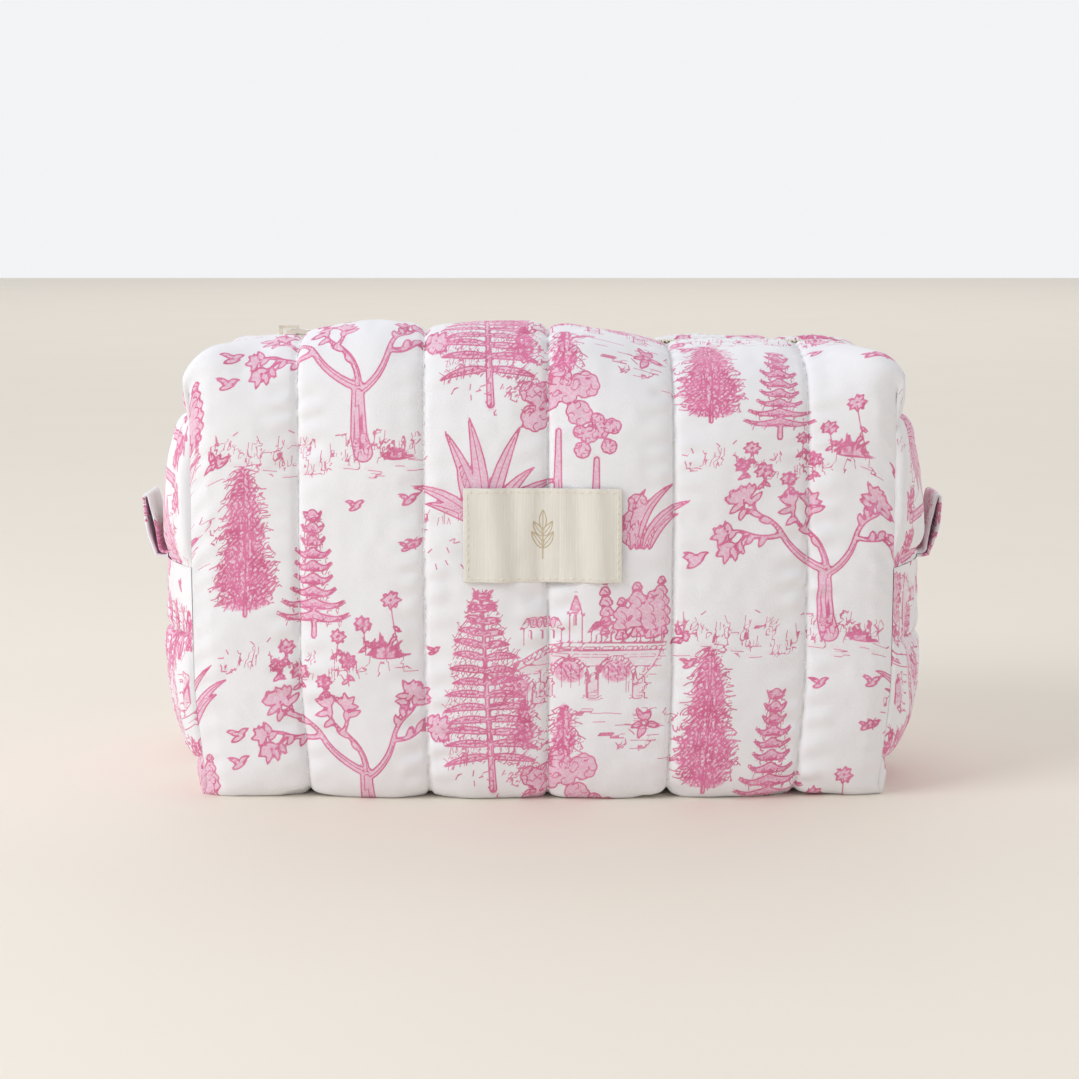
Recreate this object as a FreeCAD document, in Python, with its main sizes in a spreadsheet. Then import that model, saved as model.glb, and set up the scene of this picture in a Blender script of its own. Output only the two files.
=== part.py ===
import FreeCAD, Part
import os
import Sketcher
from FreeCAD import Placement, Rotation, Vector

# Quilted cotton makeup bag with boxed corners and a zip along the top.
# Frame: origin on the floor under the middle of the bag, X along the bag, -Y the front, +Z up.
# The soft wall is built as nested layers (printed cotton, wadding, lining).  Every layer is cut
# from the same bag form, taken in from the outer surface by that layer's depth.
# The two top panels swing open on the folds along the front and back top edges.

DIMENSIONS = {
    # outer form, half sizes and heights
    "belly_half_width": 128.5,
    "corner_half_width": 113.0,
    "bottom_half_width": 109.0,
    "plateau_half_width": 92.0,
    "shoulder_half_width": 113.5,
    "shoulder_height": 132.0,
    "shoulder_bend_width": 105.1,
    "shoulder_bend_height": 142.9,
    "belly_height": 68.0,
    "bag_height": 147.0,
    "belly_half_depth": 56.5,
    "corner_half_depth": 50.0,
    "side_half_depth": 57.0,
    "foot_half_depth": 40.0,
    "heel_half_depth": 53.0,
    "heel_height": 12.0,
    "heel_bend_depth": 49.2,
    "heel_bend_height": 2.8,
    "fold_half_depth": 54.0,
    "fold_height": 126.0,
    "fold_bend_depth": 49.5,
    "fold_bend_height": 141.35,
    "crown_half_depth": 35.0,
    "top_half_depth": 38.0,
    # the side outline runs on past the top and the floor, where the front outline ends the form
    "side_overrun": 1.0,
    # wall layers, as depths below the outer surface
    "cotton_inner": 0.8,
    "wadding_outer": 0.9,
    "wadding_inner": 4.0,
    "lining_outer": 4.1,
    "lining_inner": 4.7,
    "binding_outer": 4.8,
    "binding_depth": 8.0,
    "tape_outer": 0.9,
    "tape_inner": 1.5,
    "label_face": 0.7,
    "label_back": 0.1,
    # top panels that open
    "panel_half_length": 60.0,
    "panel_gap": 0.3,
    "fold_gap": 0.3,
    "middle_gap": 0.1,
    # zip
    "slot_half_width": 8.0,
    "wadding_slot": 15.5,
    "tape_half_width": 15.0,
    "tape_edge": 1.2,
    "coil_half_width": 3.0,
    "coil_edge": 0.8,
    "end_seam_height": 76.0,
    # slider, measured from its middle
    "slider_rest": -86.0,
    "slider_length": 11.0,
    "slider_width": 8.8,
    "slider_plate": 1.1,
    "slider_clearance": 0.4,
    "slider_web": 1.0,
    "slider_web_length": 3.0,
    "slider_lip": 1.0,
    "bail_length": 6.8,
    "bail_height": 3.1,
    "bail_width": 1.8,
    "bail_bar": 1.1,
    # puller, lying along the zip
    "puller_lift": 0.4,
    "puller_thickness": 1.2,
    "puller_width": 6.4,
    "puller_reach": 24.0,
    "puller_window": 4.6,
    "puller_window_width": 2.8,
    "puller_bar": 1.2,
    "puller_round": 2.2,
    # loop tabs caught in the end seams
    "tab_root": 130.5,
    "tab_length": 20.0,
    "tab_width": 22.0,
    "tab_thickness": 2.8,
    "tab_layer": 1.0,
    "tab_lean": 12.0,
    # label and bindings
    "label_half_width": 25.0,
    "label_low": 73.0,
    "label_high": 103.0,
    "binding_half_width": 34.0,
    "binding_thickness": 2.4,
    "corner_binding_depth": 9.0,
    "corner_binding_thickness": 2.2,
    "corner_binding_low": 15.0,
    "corner_binding_high": 121.0,
    # reach of cutting boxes, past every surface
    "far": 160.0,
    "wall_cut_height": 100.0,
}

document = FreeCAD.newDocument("makeup_bag")
sheet = document.addObject("Spreadsheet::Sheet", "Sizes")
for row, (alias, value) in enumerate(DIMENSIONS.items(), start=1):
    sheet.set("A%d" % row, alias)
    sheet.set("B%d" % row, str(value))
    sheet.setAlias("B%d" % row, alias)
document.recompute()

SUB_PARTS = []


def formula(text):
    """Spreadsheet names in a short formula, written out as references to the sheet."""
    words = text.replace("(", " ( ").replace(")", " ) ").split()
    return " ".join("Sizes." + word if word in DIMENSIONS else word for word in words)


def amount(text):
    """Value of a short formula now, for geometry that needs a starting position."""
    probe = sheet.evalExpression(formula(text))
    return float(getattr(probe, "Value", probe))


def bind(item, prop, text):
    item.setExpression(prop, formula(text))


def keep(item, label):
    """Names a finished sub-part; the label is also its file's name."""
    item.Label = label
    SUB_PARTS.append(item)
    return item


def block(name, x, y, z):
    """Box between pairs of formulas along X, Y and Z."""
    box = document.addObject("Part::Box", name)
    for size, place, (low, high) in (("Length", "x", x), ("Width", "y", y), ("Height", "z", z)):
        bind(box, size, "( %s ) - ( %s )" % (high, low))
        bind(box, "Placement.Base." + place, low)
    return box


def common(name, base, *tools):
    """What base shares with every tool, taken one tool at a time."""
    for number, tool in enumerate(tools, start=1):
        step_name = name if number == len(tools) else "%s_%d" % (name, number)
        item = document.addObject("Part::Common", step_name)
        item.Base = base
        item.Tool = tool
        base = item
    return base


def fuse(name, *shapes):
    item = document.addObject("Part::MultiFuse", name)
    item.Shapes = list(shapes)
    return item


def cut(name, base, *tools):
    """Base with each tool taken away in turn."""
    for number, tool in enumerate(tools, start=1):
        step_name = name if number == len(tools) else "%s_%d" % (name, number)
        item = document.addObject("Part::Cut", step_name)
        item.Base = base
        item.Tool = tool
        base = item
    return base


# ---- outer form: front, side and plan outlines, crossed --------------------------------------

SAME_PLACE = 1e-6


def pin(sketch, geometry, point, across, up):
    """Holds a sketch point at two formulas, measured from the origin."""
    for kind, text in (("DistanceX", across), ("DistanceY", up)):
        if text == "0":
            axis = -2 if kind == "DistanceX" else -1
            sketch.addConstraint(Sketcher.Constraint("PointOnObject", geometry, point, axis))
            continue
        index = sketch.addConstraint(
            Sketcher.Constraint(kind, -1, 1, geometry, point, amount(text))
        )
        sketch.setExpression("Constraints[%d]" % index, formula(text))


def outline(name, turn, corners):
    """Closed sketch through corner points; a corner's third entry bends the edge that follows it."""
    sketch = document.addObject("Sketcher::SketchObject", name)
    sketch.Placement = Placement(Vector(), turn)
    spots = [Vector(amount(corner[0]), amount(corner[1]), 0) for corner in corners]
    for number, corner in enumerate(corners):
        start = spots[number]
        end = spots[(number + 1) % len(spots)]
        if corner[2] is None:
            edge = sketch.addGeometry(Part.LineSegment(start, end), False)
            first = 1
        else:
            across, up = corner[2]
            middle = Vector(amount(across), amount(up), 0)
            edge = sketch.addGeometry(Part.Arc(start, middle, end), False)
            first = 1 if (sketch.getPoint(edge, 1) - start).Length < SAME_PLACE else 2
            mark = sketch.addGeometry(Part.Point(middle), True)
            pin(sketch, mark, 1, across, up)
            sketch.addConstraint(Sketcher.Constraint("PointOnObject", mark, 1, edge))
        pin(sketch, edge, first, corner[0], corner[1])
        following = corners[(number + 1) % len(corners)]
        pin(sketch, edge, 3 - first, following[0], following[1])
    return sketch


FRONT_VIEW = Rotation(Vector(1, 0, 0), 90)
SIDE_VIEW = Rotation(Vector(1, 1, 1), 120)
PLAN_VIEW = Rotation()

front_outline = outline("front_outline", FRONT_VIEW, [
    ("- bottom_half_width", "0", None),
    ("bottom_half_width", "0", ("belly_half_width", "belly_height")),
    ("shoulder_half_width", "shoulder_height", ("shoulder_bend_width", "shoulder_bend_height")),
    ("plateau_half_width", "bag_height", None),
    ("- plateau_half_width", "bag_height", ("- shoulder_bend_width", "shoulder_bend_height")),
    ("- shoulder_half_width", "shoulder_height", ("- belly_half_width", "belly_height")),
])
side_outline = outline("side_outline", SIDE_VIEW, [
    ("- foot_half_depth", "- side_overrun", None),
    ("foot_half_depth", "- side_overrun", ("heel_bend_depth", "heel_bend_height")),
    ("heel_half_depth", "heel_height", ("side_half_depth", "belly_height")),
    ("fold_half_depth", "fold_height", ("fold_bend_depth", "fold_bend_height")),
    ("crown_half_depth", "bag_height + side_overrun", None),
    ("- crown_half_depth", "bag_height + side_overrun", ("- fold_bend_depth", "fold_bend_height")),
    ("- fold_half_depth", "fold_height", ("- side_half_depth", "belly_height")),
    ("- heel_half_depth", "heel_height", ("- heel_bend_depth", "heel_bend_height")),
])
plan_outline = outline("plan_outline", PLAN_VIEW, [
    ("- corner_half_width", "- corner_half_depth", ("0", "- belly_half_depth")),
    ("corner_half_width", "- corner_half_depth", ("belly_half_width", "0")),
    ("corner_half_width", "corner_half_depth", ("0", "belly_half_depth")),
    ("- corner_half_width", "corner_half_depth", ("- belly_half_width", "0")),
])
OUTLINES = (
    (plan_outline, Vector(0, 0, 1)),
    (side_outline, Vector(1, 0, 0)),
    (front_outline, Vector(0, 1, 0)),
)


def bag_form(name, depth):
    """Solid bag whose surface lies at a depth below the outer surface (None for the surface itself)."""
    prisms = []
    for view, direction in OUTLINES:
        profile = view
        if depth is not None:
            profile = document.addObject("Part::Offset2D", "%s_%s" % (name, view.Name))
            profile.Source = view
            profile.Join = "Tangent"
            bind(profile, "Value", "- ( %s )" % depth)
        prism = document.addObject("Part::Extrusion", "%s_%s_prism" % (name, view.Name))
        prism.Base = profile
        prism.DirMode = "Custom"
        prism.Dir = direction
        prism.Symmetric = True
        prism.Solid = True
        bind(prism, "LengthFwd", "2 * far")
        prisms.append(prism)
    return common(name, *prisms)


def layer(name, outer, inner):
    """Skin between two bag forms."""
    return cut(name, outer, inner)


form = {
    "surface": bag_form("form_surface", None),
    "cotton_inner": bag_form("form_cotton_inner", "cotton_inner"),
    "wadding_outer": bag_form("form_wadding_outer", "wadding_outer"),
    "wadding_inner": bag_form("form_wadding_inner", "wadding_inner"),
    "lining_outer": bag_form("form_lining_outer", "lining_outer"),
    "lining_inner": bag_form("form_lining_inner", "lining_inner"),
    "binding_outer": bag_form("form_binding_outer", "binding_outer"),
    "tape_inner": bag_form("form_tape_inner", "tape_inner"),
}

# ---- cutting boxes -----------------------------------------------------------------------------

EVERYWHERE = ("- far", "far")
FRONT = ("- far", "- middle_gap")
BACK = ("middle_gap", "far")
SIDES = (("front", -1), ("back", 1))

mouth = block(
    "mouth_cut",
    ("- panel_half_length - panel_gap", "panel_half_length + panel_gap"),
    ("- top_half_depth - fold_gap", "top_half_depth + fold_gap"),
    ("wall_cut_height", "far"),
)
slot = block("slot_cut", EVERYWHERE, ("- slot_half_width", "slot_half_width"), ("end_seam_height", "far"))
wadding_slot = block(
    "wadding_slot_cut", EVERYWHERE, ("- wadding_slot", "wadding_slot"), ("end_seam_height", "far")
)
front_half = block("front_half", EVERYWHERE, FRONT, EVERYWHERE)
back_half = block("back_half", EVERYWHERE, BACK, EVERYWHERE)
HALVES = {"front": front_half, "back": back_half}

# ---- bag walls, front and back half of each layer ----------------------------------------------

cotton_skin = layer("cotton_skin", form["surface"], form["cotton_inner"])
wadding_skin = layer("wadding_skin", form["wadding_outer"], form["wadding_inner"])
lining_skin = layer("lining_skin", form["lining_outer"], form["lining_inner"])
WALLS = (
    ("outer", cotton_skin, slot),
    ("wadding", wadding_skin, wadding_slot),
    ("lining", lining_skin, slot),
)
for layer_name, skin, channel in WALLS:
    for side, _ in SIDES:
        half = common("%s_%s_half" % (layer_name, side), skin, HALVES[side])
        keep(cut("%s_%s_wall" % (layer_name, side), half, mouth, channel), "%s_%s" % (side, layer_name))


def span(sign, near, far_edge):
    """Range along Y on the front (-1) or back (1), from the middle outwards."""
    if sign < 0:
        return ("- ( %s )" % far_edge, "- ( %s )" % near)
    return (near, far_edge)


# ---- top panels, one each side of the zip -------------------------------------------------------

PANEL_LENGTH = ("- panel_half_length", "panel_half_length")
PANEL_LAYERS = (
    ("outer_panel", "slot_half_width", "0", "cotton_inner"),
    ("wadding_panel", "wadding_slot", "wadding_outer", "wadding_inner"),
    ("lining_panel", "slot_half_width", "lining_outer", "lining_inner"),
)
for side, sign in SIDES:
    for layer_name, inner_edge, shallow, deep in PANEL_LAYERS:
        keep(block(
            "%s_%s_block" % (side, layer_name),
            PANEL_LENGTH,
            span(sign, inner_edge, "top_half_depth"),
            ("bag_height - ( %s )" % deep, "bag_height - ( %s )" % shallow),
        ), "%s_%s" % (side, layer_name))

# ---- zip tape and coil: straight on the panels, bent over the shoulders at the ends -------------

tape_skin = layer("tape_skin", form["wadding_outer"], form["tape_inner"])
left_reach = ("- far", "- panel_half_length - panel_gap")
right_reach = ("panel_half_length + panel_gap", "far")
for side, sign in SIDES:
    tape_span = span(sign, "tape_edge", "tape_half_width")
    coil_span = span(sign, "coil_edge", "coil_half_width")
    keep(block(
        side + "_tape_block",
        PANEL_LENGTH,
        tape_span,
        ("bag_height - tape_inner", "bag_height - tape_outer"),
    ), side + "_zip_tape")
    keep(block(
        side + "_coil_block",
        PANEL_LENGTH,
        coil_span,
        ("bag_height - cotton_inner", "bag_height"),
    ), side + "_zip_coil")
    for end, reach in (("left", left_reach), ("right", right_reach)):
        above_seam = ("end_seam_height + middle_gap", "far")
        tape_zone = block("%s_%s_tape_zone" % (side, end), reach, tape_span, above_seam)
        coil_zone = block("%s_%s_coil_zone" % (side, end), reach, coil_span, above_seam)
        keep(
            common("%s_%s_tape_end" % (side, end), tape_skin, tape_zone),
            "%s_zip_tape_%s_end" % (side, end),
        )
        keep(
            common("%s_%s_coil_end" % (side, end), cotton_skin, coil_zone),
            "%s_zip_coil_%s_end" % (side, end),
        )

# ---- slider: two plates on a web that runs between the coils, with a bail for the puller ---------

COIL_TOP = "bag_height"
TAPE_BOTTOM = "bag_height - tape_inner"
PLATE_LOW = COIL_TOP + " + slider_clearance"
PLATE_HIGH = PLATE_LOW + " + slider_plate"
slider_x = ("slider_rest - slider_length / 2", "slider_rest + slider_length / 2")
slider_y = ("- slider_width / 2", "slider_width / 2")

top_plate = block("slider_top_plate", slider_x, slider_y, (PLATE_LOW, PLATE_HIGH))
bottom_plate = block(
    "slider_bottom_plate",
    slider_x,
    slider_y,
    (TAPE_BOTTOM + " - slider_clearance - slider_plate", TAPE_BOTTOM + " - slider_clearance"),
)
web = block(
    "slider_web_block",
    ("slider_rest - slider_length / 2", "slider_rest - slider_length / 2 + slider_web_length"),
    ("- slider_web / 2", "slider_web / 2"),
    (TAPE_BOTTOM + " - slider_clearance - slider_plate / 2", PLATE_LOW + " + slider_plate / 2"),
)
lips = []
for side, sign in SIDES:
    lips.append(block(
        "slider_%s_lip" % side,
        slider_x,
        span(sign, "slider_width / 2 - slider_lip", "slider_width / 2"),
        ("bag_height - tape_outer + slider_clearance", PLATE_LOW + " + slider_plate / 2"),
    ))
bail_outer = block(
    "bail_outer",
    ("slider_rest - bail_length / 2", "slider_rest + bail_length / 2"),
    ("- bail_width / 2", "bail_width / 2"),
    (PLATE_LOW + " + slider_plate / 2", PLATE_HIGH + " + bail_height"),
)
bail_window = block(
    "bail_window",
    ("slider_rest - bail_length / 2 + bail_bar", "slider_rest + bail_length / 2 - bail_bar"),
    ("- bail_width", "bail_width"),
    (PLATE_HIGH, PLATE_HIGH + " + bail_height - bail_bar"),
)
bail = cut("bail", bail_outer, bail_window)
slider = fuse("slider", top_plate, bottom_plate, web, lips[0], lips[1], bail)
keep(slider, "zip_slider")

# ---- puller: a flat tab with a window that hooks over the bail -----------------------------------

PULLER_LOW = PLATE_HIGH + " + puller_lift"
PULLER_HIGH = PULLER_LOW + " + puller_thickness"
puller_plate = block(
    "puller_plate",
    ("slider_rest - puller_bar / 2", "slider_rest + puller_reach"),
    ("- puller_width / 2", "puller_width / 2"),
    (PULLER_LOW, PULLER_HIGH),
)
puller_window = block(
    "puller_window_cut",
    ("slider_rest + puller_bar / 2", "slider_rest + puller_window"),
    ("- puller_window_width / 2", "puller_window_width / 2"),
    (PULLER_LOW + " - puller_lift", PULLER_HIGH + " + puller_lift"),
)
puller_blank = cut("puller_blank", puller_plate, puller_window)
puller = document.addObject("Part::Fillet", "puller")
puller.Base = puller_blank
document.recompute()
ROUND = amount("puller_round")
PULLER_END = amount("slider_rest + puller_reach")
NEARLY_UPRIGHT = 0.9
TOLERANCE = 0.01
puller.Edges = [
    (number, ROUND, ROUND)
    for number, edge in enumerate(puller_blank.Shape.Edges, start=1)
    if abs(edge.tangentAt(edge.FirstParameter).z) > NEARLY_UPRIGHT
    and edge.BoundBox.XMin > PULLER_END - TOLERANCE
]
keep(puller, "zip_puller")

# ---- loop tabs: a flat folded loop standing from each end seam ------------------------------------


def loop_tab(label, sign):
    """Folded strip as a flat loop, padded across the bag and leaned outwards."""
    body = document.addObject("PartDesign::Body", label + "_body")
    sketch = body.newObject("Sketcher::SketchObject", label + "_loop")
    plane = next(item for item in body.Origin.OriginFeatures if item.Role == "XZ_Plane")
    sketch.AttachmentSupport = [(plane, "")]
    sketch.MapMode = "FlatFace"
    for inset in ("0", "tab_layer"):
        half = amount("tab_thickness / 2 - " + inset)
        low = amount("tab_thickness / 2")
        high = amount("tab_length - tab_thickness / 2")
        right_side = sketch.addGeometry(Part.LineSegment(Vector(half, low, 0), Vector(half, high, 0)))
        top = sketch.addGeometry(Part.Arc(
            Vector(half, high, 0), Vector(0, high + half, 0), Vector(-half, high, 0)
        ))
        left_side = sketch.addGeometry(Part.LineSegment(Vector(-half, high, 0), Vector(-half, low, 0)))
        bottom = sketch.addGeometry(Part.Arc(
            Vector(-half, low, 0), Vector(0, low - half, 0), Vector(half, low, 0)
        ))
        ring = (right_side, top, left_side, bottom)
        for number, edge in enumerate(ring):
            sketch.addConstraint(Sketcher.Constraint("Tangent", edge, 2, ring[(number + 1) % 4], 1))
        sketch.addConstraint(Sketcher.Constraint("Vertical", right_side))
        for arc, height in ((bottom, "tab_thickness / 2"), (top, "tab_length - tab_thickness / 2")):
            sketch.addConstraint(Sketcher.Constraint("PointOnObject", arc, 3, -2))
            index = sketch.addConstraint(
                Sketcher.Constraint("DistanceY", -1, 1, arc, 3, amount(height))
            )
            sketch.setExpression("Constraints[%d]" % index, formula(height))
        index = sketch.addConstraint(Sketcher.Constraint("Radius", bottom, half))
        sketch.setExpression("Constraints[%d]" % index, formula("tab_thickness / 2 - " + inset))
    pad = body.newObject("PartDesign::Pad", label + "_pad")
    pad.Profile = sketch
    pad.Midplane = True
    bind(pad, "Length", "tab_width")
    body.Tip = pad
    lean = "tab_lean" if sign > 0 else "- tab_lean"
    body.Placement = Placement(Vector(), Rotation(Vector(0, 1, 0), amount(lean)))
    bind(body, "Placement.Base.x", "tab_root" if sign > 0 else "- tab_root")
    bind(body, "Placement.Base.z", "end_seam_height")
    bind(body, "Placement.Rotation.Angle", lean)
    return keep(body, label)


loop_tab("left_tab", -1)
loop_tab("right_tab", 1)

# ---- label on the front, and the bindings over the seams inside ------------------------------------

label_forms = {}
for face in ("label_face", "label_back"):
    label_forms[face] = bag_form("form_" + face, None)
    bind(label_forms[face], "Placement.Base.y", "- " + face)
label_skin = layer("label_skin", label_forms["label_face"], label_forms["label_back"])
label_zone = block(
    "label_zone",
    ("- label_half_width", "label_half_width"),
    ("- far", "0"),
    ("label_low", "label_high"),
)
keep(common("label_patch", label_skin, label_zone), "label")

BINDING_REACH = "belly_half_width - binding_outer - binding_depth"
for end, low, high in (("left", "- far", "- ( %s )" % BINDING_REACH), ("right", BINDING_REACH, "far")):
    binding_zone = block(
        end + "_binding_zone",
        (low, high),
        ("- binding_half_width", "binding_half_width"),
        ("end_seam_height - binding_thickness", "end_seam_height"),
    )
    keep(common(end + "_binding_strip", form["binding_outer"], binding_zone), end + "_seam_binding")

# each corner's side along X, side along Y and the turn that lays its strip across the corner
CORNERS = (
    ("front_left", -1, -1, 45),
    ("front_right", 1, -1, 135),
    ("back_left", -1, 1, -45),
    ("back_right", 1, 1, -135),
)
for corner, across, along, angle in CORNERS:
    strip = document.addObject("Part::Box", corner + "_strip")
    bind(strip, "Length", "corner_binding_depth * 2")
    bind(strip, "Width", "corner_binding_thickness")
    bind(strip, "Height", "corner_binding_high - corner_binding_low")
    turn = Rotation(Vector(0, 0, 1), angle)
    to_middle = Vector(-amount("corner_binding_depth"), -amount("corner_binding_thickness / 2"), 0)
    offset = turn.multVec(to_middle)
    corner_x = across * amount("corner_half_width - binding_outer")
    corner_y = along * amount("corner_half_depth - binding_outer")
    strip.Placement = Placement(
        Vector(corner_x, corner_y, amount("corner_binding_low")) + offset, turn
    )
    keep(common(corner + "_binding", form["binding_outer"], strip), corner + "_corner_binding")

# ---- checks and files ----------------------------------------------------------------------------

document.recompute()
for item in document.Objects:
    problems = [state for state in item.State if state in ("Invalid", "Error")]
    if problems:
        raise RuntimeError("%s did not compute: %s" % (item.Label, problems))

os.makedirs("parts", exist_ok=True)
for item in SUB_PARTS:
    shape = item.Shape
    if shape.isNull() or not shape.isValid() or shape.Volume <= 0:
        raise RuntimeError("%s has no valid shape" % item.Label)
    shape.exportStep("parts/%s.step" % item.Label)
    box = shape.BoundBox
    extent = (box.XMin, box.XMax, box.YMin, box.YMax, box.ZMin, box.ZMax)
    print("%-32s %9.1f mm3  %d solid(s)" % (item.Label, shape.Volume, len(shape.Solids)), end="")
    print("  x %.1f..%.1f y %.1f..%.1f z %.1f..%.1f" % extent)
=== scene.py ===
import math

import bpy
import numpy as np
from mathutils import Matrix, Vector


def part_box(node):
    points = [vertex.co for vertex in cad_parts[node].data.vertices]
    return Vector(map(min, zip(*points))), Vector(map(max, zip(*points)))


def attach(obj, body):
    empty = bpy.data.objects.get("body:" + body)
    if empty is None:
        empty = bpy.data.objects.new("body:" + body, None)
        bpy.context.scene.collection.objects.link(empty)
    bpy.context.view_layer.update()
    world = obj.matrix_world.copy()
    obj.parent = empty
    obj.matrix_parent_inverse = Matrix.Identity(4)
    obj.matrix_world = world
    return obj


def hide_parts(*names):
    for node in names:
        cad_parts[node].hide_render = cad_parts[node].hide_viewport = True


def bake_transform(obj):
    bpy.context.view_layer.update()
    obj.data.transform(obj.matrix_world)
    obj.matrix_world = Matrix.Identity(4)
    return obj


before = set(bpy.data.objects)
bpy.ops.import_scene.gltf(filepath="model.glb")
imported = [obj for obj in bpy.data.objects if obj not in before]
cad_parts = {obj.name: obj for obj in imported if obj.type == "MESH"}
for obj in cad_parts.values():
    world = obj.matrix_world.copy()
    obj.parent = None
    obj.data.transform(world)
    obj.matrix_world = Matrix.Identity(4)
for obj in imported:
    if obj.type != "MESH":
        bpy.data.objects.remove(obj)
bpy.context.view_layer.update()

# Quilted cotton makeup bag. The bag is a tube (bottom, front, top and back) closed by two end faces.
# Every patch of cloth is a regular grid over the flat cloth, so its print is drawn in flat
# millimetres (u along the bag, v up the front from the bottom seam) and then carried by the form.

MM = 0.001

# ---- form of the bag ----------------------------------------------------------------------------

outer_low, outer_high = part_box("front_outer")
BELLY_HALF_WIDTH = outer_high[0] / MM
FRONT_HALF_DEPTH = -outer_low[1] / MM
TOP = outer_high[2] / MM
CORNER_HALF_WIDTH = 113.0
BOTTOM_HALF_WIDTH = 110.0
CORNER_HALF_DEPTH = 50.0
PLATEAU = 92.0
SHOULDER_RADIUS = 22.9
END_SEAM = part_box("left_tab")[0][2] / MM
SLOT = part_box("front_outer_panel")[1][1] / -MM
SEAMS = (-78.4, -37.9, 1.6, 41.7, 84.7)
CHANNEL_EDGES = (-CORNER_HALF_WIDTH - 1.5,) + SEAMS + (CORNER_HALF_WIDTH + 1.5,)
END_CHANNEL = 40.5
WRAP_EDGES = (
    (SEAMS[0] - 2.2 * END_CHANNEL, SEAMS[0] - 1.15 * END_CHANNEL)
    + SEAMS
    + (SEAMS[-1] + END_CHANNEL, SEAMS[-1] + 2.0 * END_CHANNEL)
)
WALL = 4.6
END_BULGE = BELLY_HALF_WIDTH - CORNER_HALF_WIDTH - 1.6
END_PULL = 0.42
ZIP_SINK = 0.6


def smooth(t):
    t = np.clip(t, 0.0, 1.0)
    return t * t * (3.0 - 2.0 * t)


def spline_basis(t, count):
    """Clamped cubic B-spline weights of each control point at each t."""
    inner = np.linspace(0.0, 1.0, count - 2)
    knots = np.concatenate(([0.0] * 3, inner, [1.0] * 3))
    t = np.clip(np.asarray(t, float), 0.0, 1.0 - 1e-9)
    weights = [np.where((t >= knots[i]) & (t < knots[i + 1]), 1.0, 0.0) for i in range(len(knots) - 1)]
    for degree in range(1, 4):
        following = []
        for i in range(len(knots) - 1 - degree):
            left = knots[i + degree] - knots[i]
            right = knots[i + degree + 1] - knots[i + 1]
            value = np.zeros_like(t)
            if left > 0:
                value = value + (t - knots[i]) / left * weights[i]
            if right > 0:
                value = value + (knots[i + degree + 1] - t) / right * weights[i + 1]
            following.append(value)
        weights = following
    return np.stack(weights[:count], axis=-1)


def zip_height(x):
    """Height of the zip line: level, then round over the shoulders."""
    beyond = np.clip(np.abs(x) - PLATEAU, 0.0, SHOULDER_RADIUS - ZIP_SINK)
    return TOP - ZIP_SINK - SHOULDER_RADIUS + np.sqrt(SHOULDER_RADIUS ** 2 - beyond ** 2)


def section_points(x, side="front"):
    """Control points (y outwards, z) of half a cross-section at x, bottom seam to zip edge."""
    x = np.asarray(x, float)
    end = np.abs(x) / CORNER_HALF_WIDTH
    depth = CORNER_HALF_DEPTH + (FRONT_HALF_DEPTH - CORNER_HALF_DEPTH) * (1.0 - end ** 2)
    zip_line = zip_height(x)
    if side == "front":
        high_middle = (1.0 - smooth((x + 5.0) / 65.0)) * (1.0 - smooth((-x - 55.0) / 75.0))
        swell = 10.0 * high_middle - 4.2 - 2.5 * smooth((x - 70.0) / 35.0)
    else:
        swell = -3.6 - 3.0 * smooth((np.abs(x) - 70.0) / 35.0)
    crown = zip_line + swell * (1.0 - end ** 6)
    ear = smooth((end - 0.80) / 0.20)
    lift = 0.5 * smooth((end - 0.6) / 0.4)
    rows = (
        (0.0, 0.0),
        (0.45 * depth, 0.0),
        (0.86 * depth, lift),
        ((1.0 - 0.02 * ear) * depth, 5.0 - 3.0 * ear),
        (1.025 * depth, 0.27 * zip_line),
        (1.05 * depth, 0.55 * zip_line),
        (1.035 * depth, 0.80 * zip_line),
        ((0.965 + 0.045 * ear) * depth, crown - 8.5 + 13.0 * ear),
        ((0.76 + 0.17 * ear) * depth, crown - 0.5 + 6.0 * ear),
        (0.44 * depth, crown + 1.0 * ear),
        (SLOT, zip_line),
    )
    return np.stack([np.stack([a + 0.0 * x, b + 0.0 * x], axis=-1) for a, b in rows], axis=-2)


SECTION_COUNT = 11
fine_t = np.linspace(0.0, 1.0, 4001)
middle_section = spline_basis(fine_t, SECTION_COUNT) @ section_points(np.array([0.0]))[0]
steps = np.linalg.norm(np.diff(middle_section, axis=0), axis=1)
middle_length = np.concatenate(([0.0], np.cumsum(steps)))
FLAT_HEIGHT = float(middle_length[-1])
MID_FRONT = float(np.interp(70.0, middle_section[:2600, 1], middle_length[:2600]))
V_OF_FLOOR = MID_FRONT - 70.0


def t_of_v(v):
    return np.interp(v, middle_length, fine_t)


def v_of_t(t):
    return np.interp(t, fine_t, middle_length)


# the corner seam runs up the sides of the end section, between these two places on it
SEAM_LOW_V = float(middle_length[np.argmax(middle_section[:, 1] > 5.0)])
SEAM_HIGH_V = float(middle_length[np.argmax(middle_section[:, 1] > TOP - 6.0)])


def seam_reach(t):
    """Half length of the tube along its corner seam, a little shorter at the bottom."""
    height = v_of_t(t) - V_OF_FLOOR
    return BOTTOM_HALF_WIDTH + (CORNER_HALF_WIDTH - BOTTOM_HALF_WIDTH) * smooth(height / 45.0)


def tube(u, t, side="front"):
    """Places on the front half of the tube, for grids of flat u and section parameter t."""
    x = u / CORNER_HALF_WIDTH * seam_reach(t)[:, None]
    weights = spline_basis(t, SECTION_COUNT)
    points = section_points(x, side)
    flat = np.einsum("vk,vukc->vuc", weights, points)
    return np.stack([x, -flat[..., 0], flat[..., 1]], axis=-1)


# ---- soft noise over the flat cloth -------------------------------------------------------------

NOISE_TABLE = np.random.default_rng(21).uniform(-1.0, 1.0, (64, 64))


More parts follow.
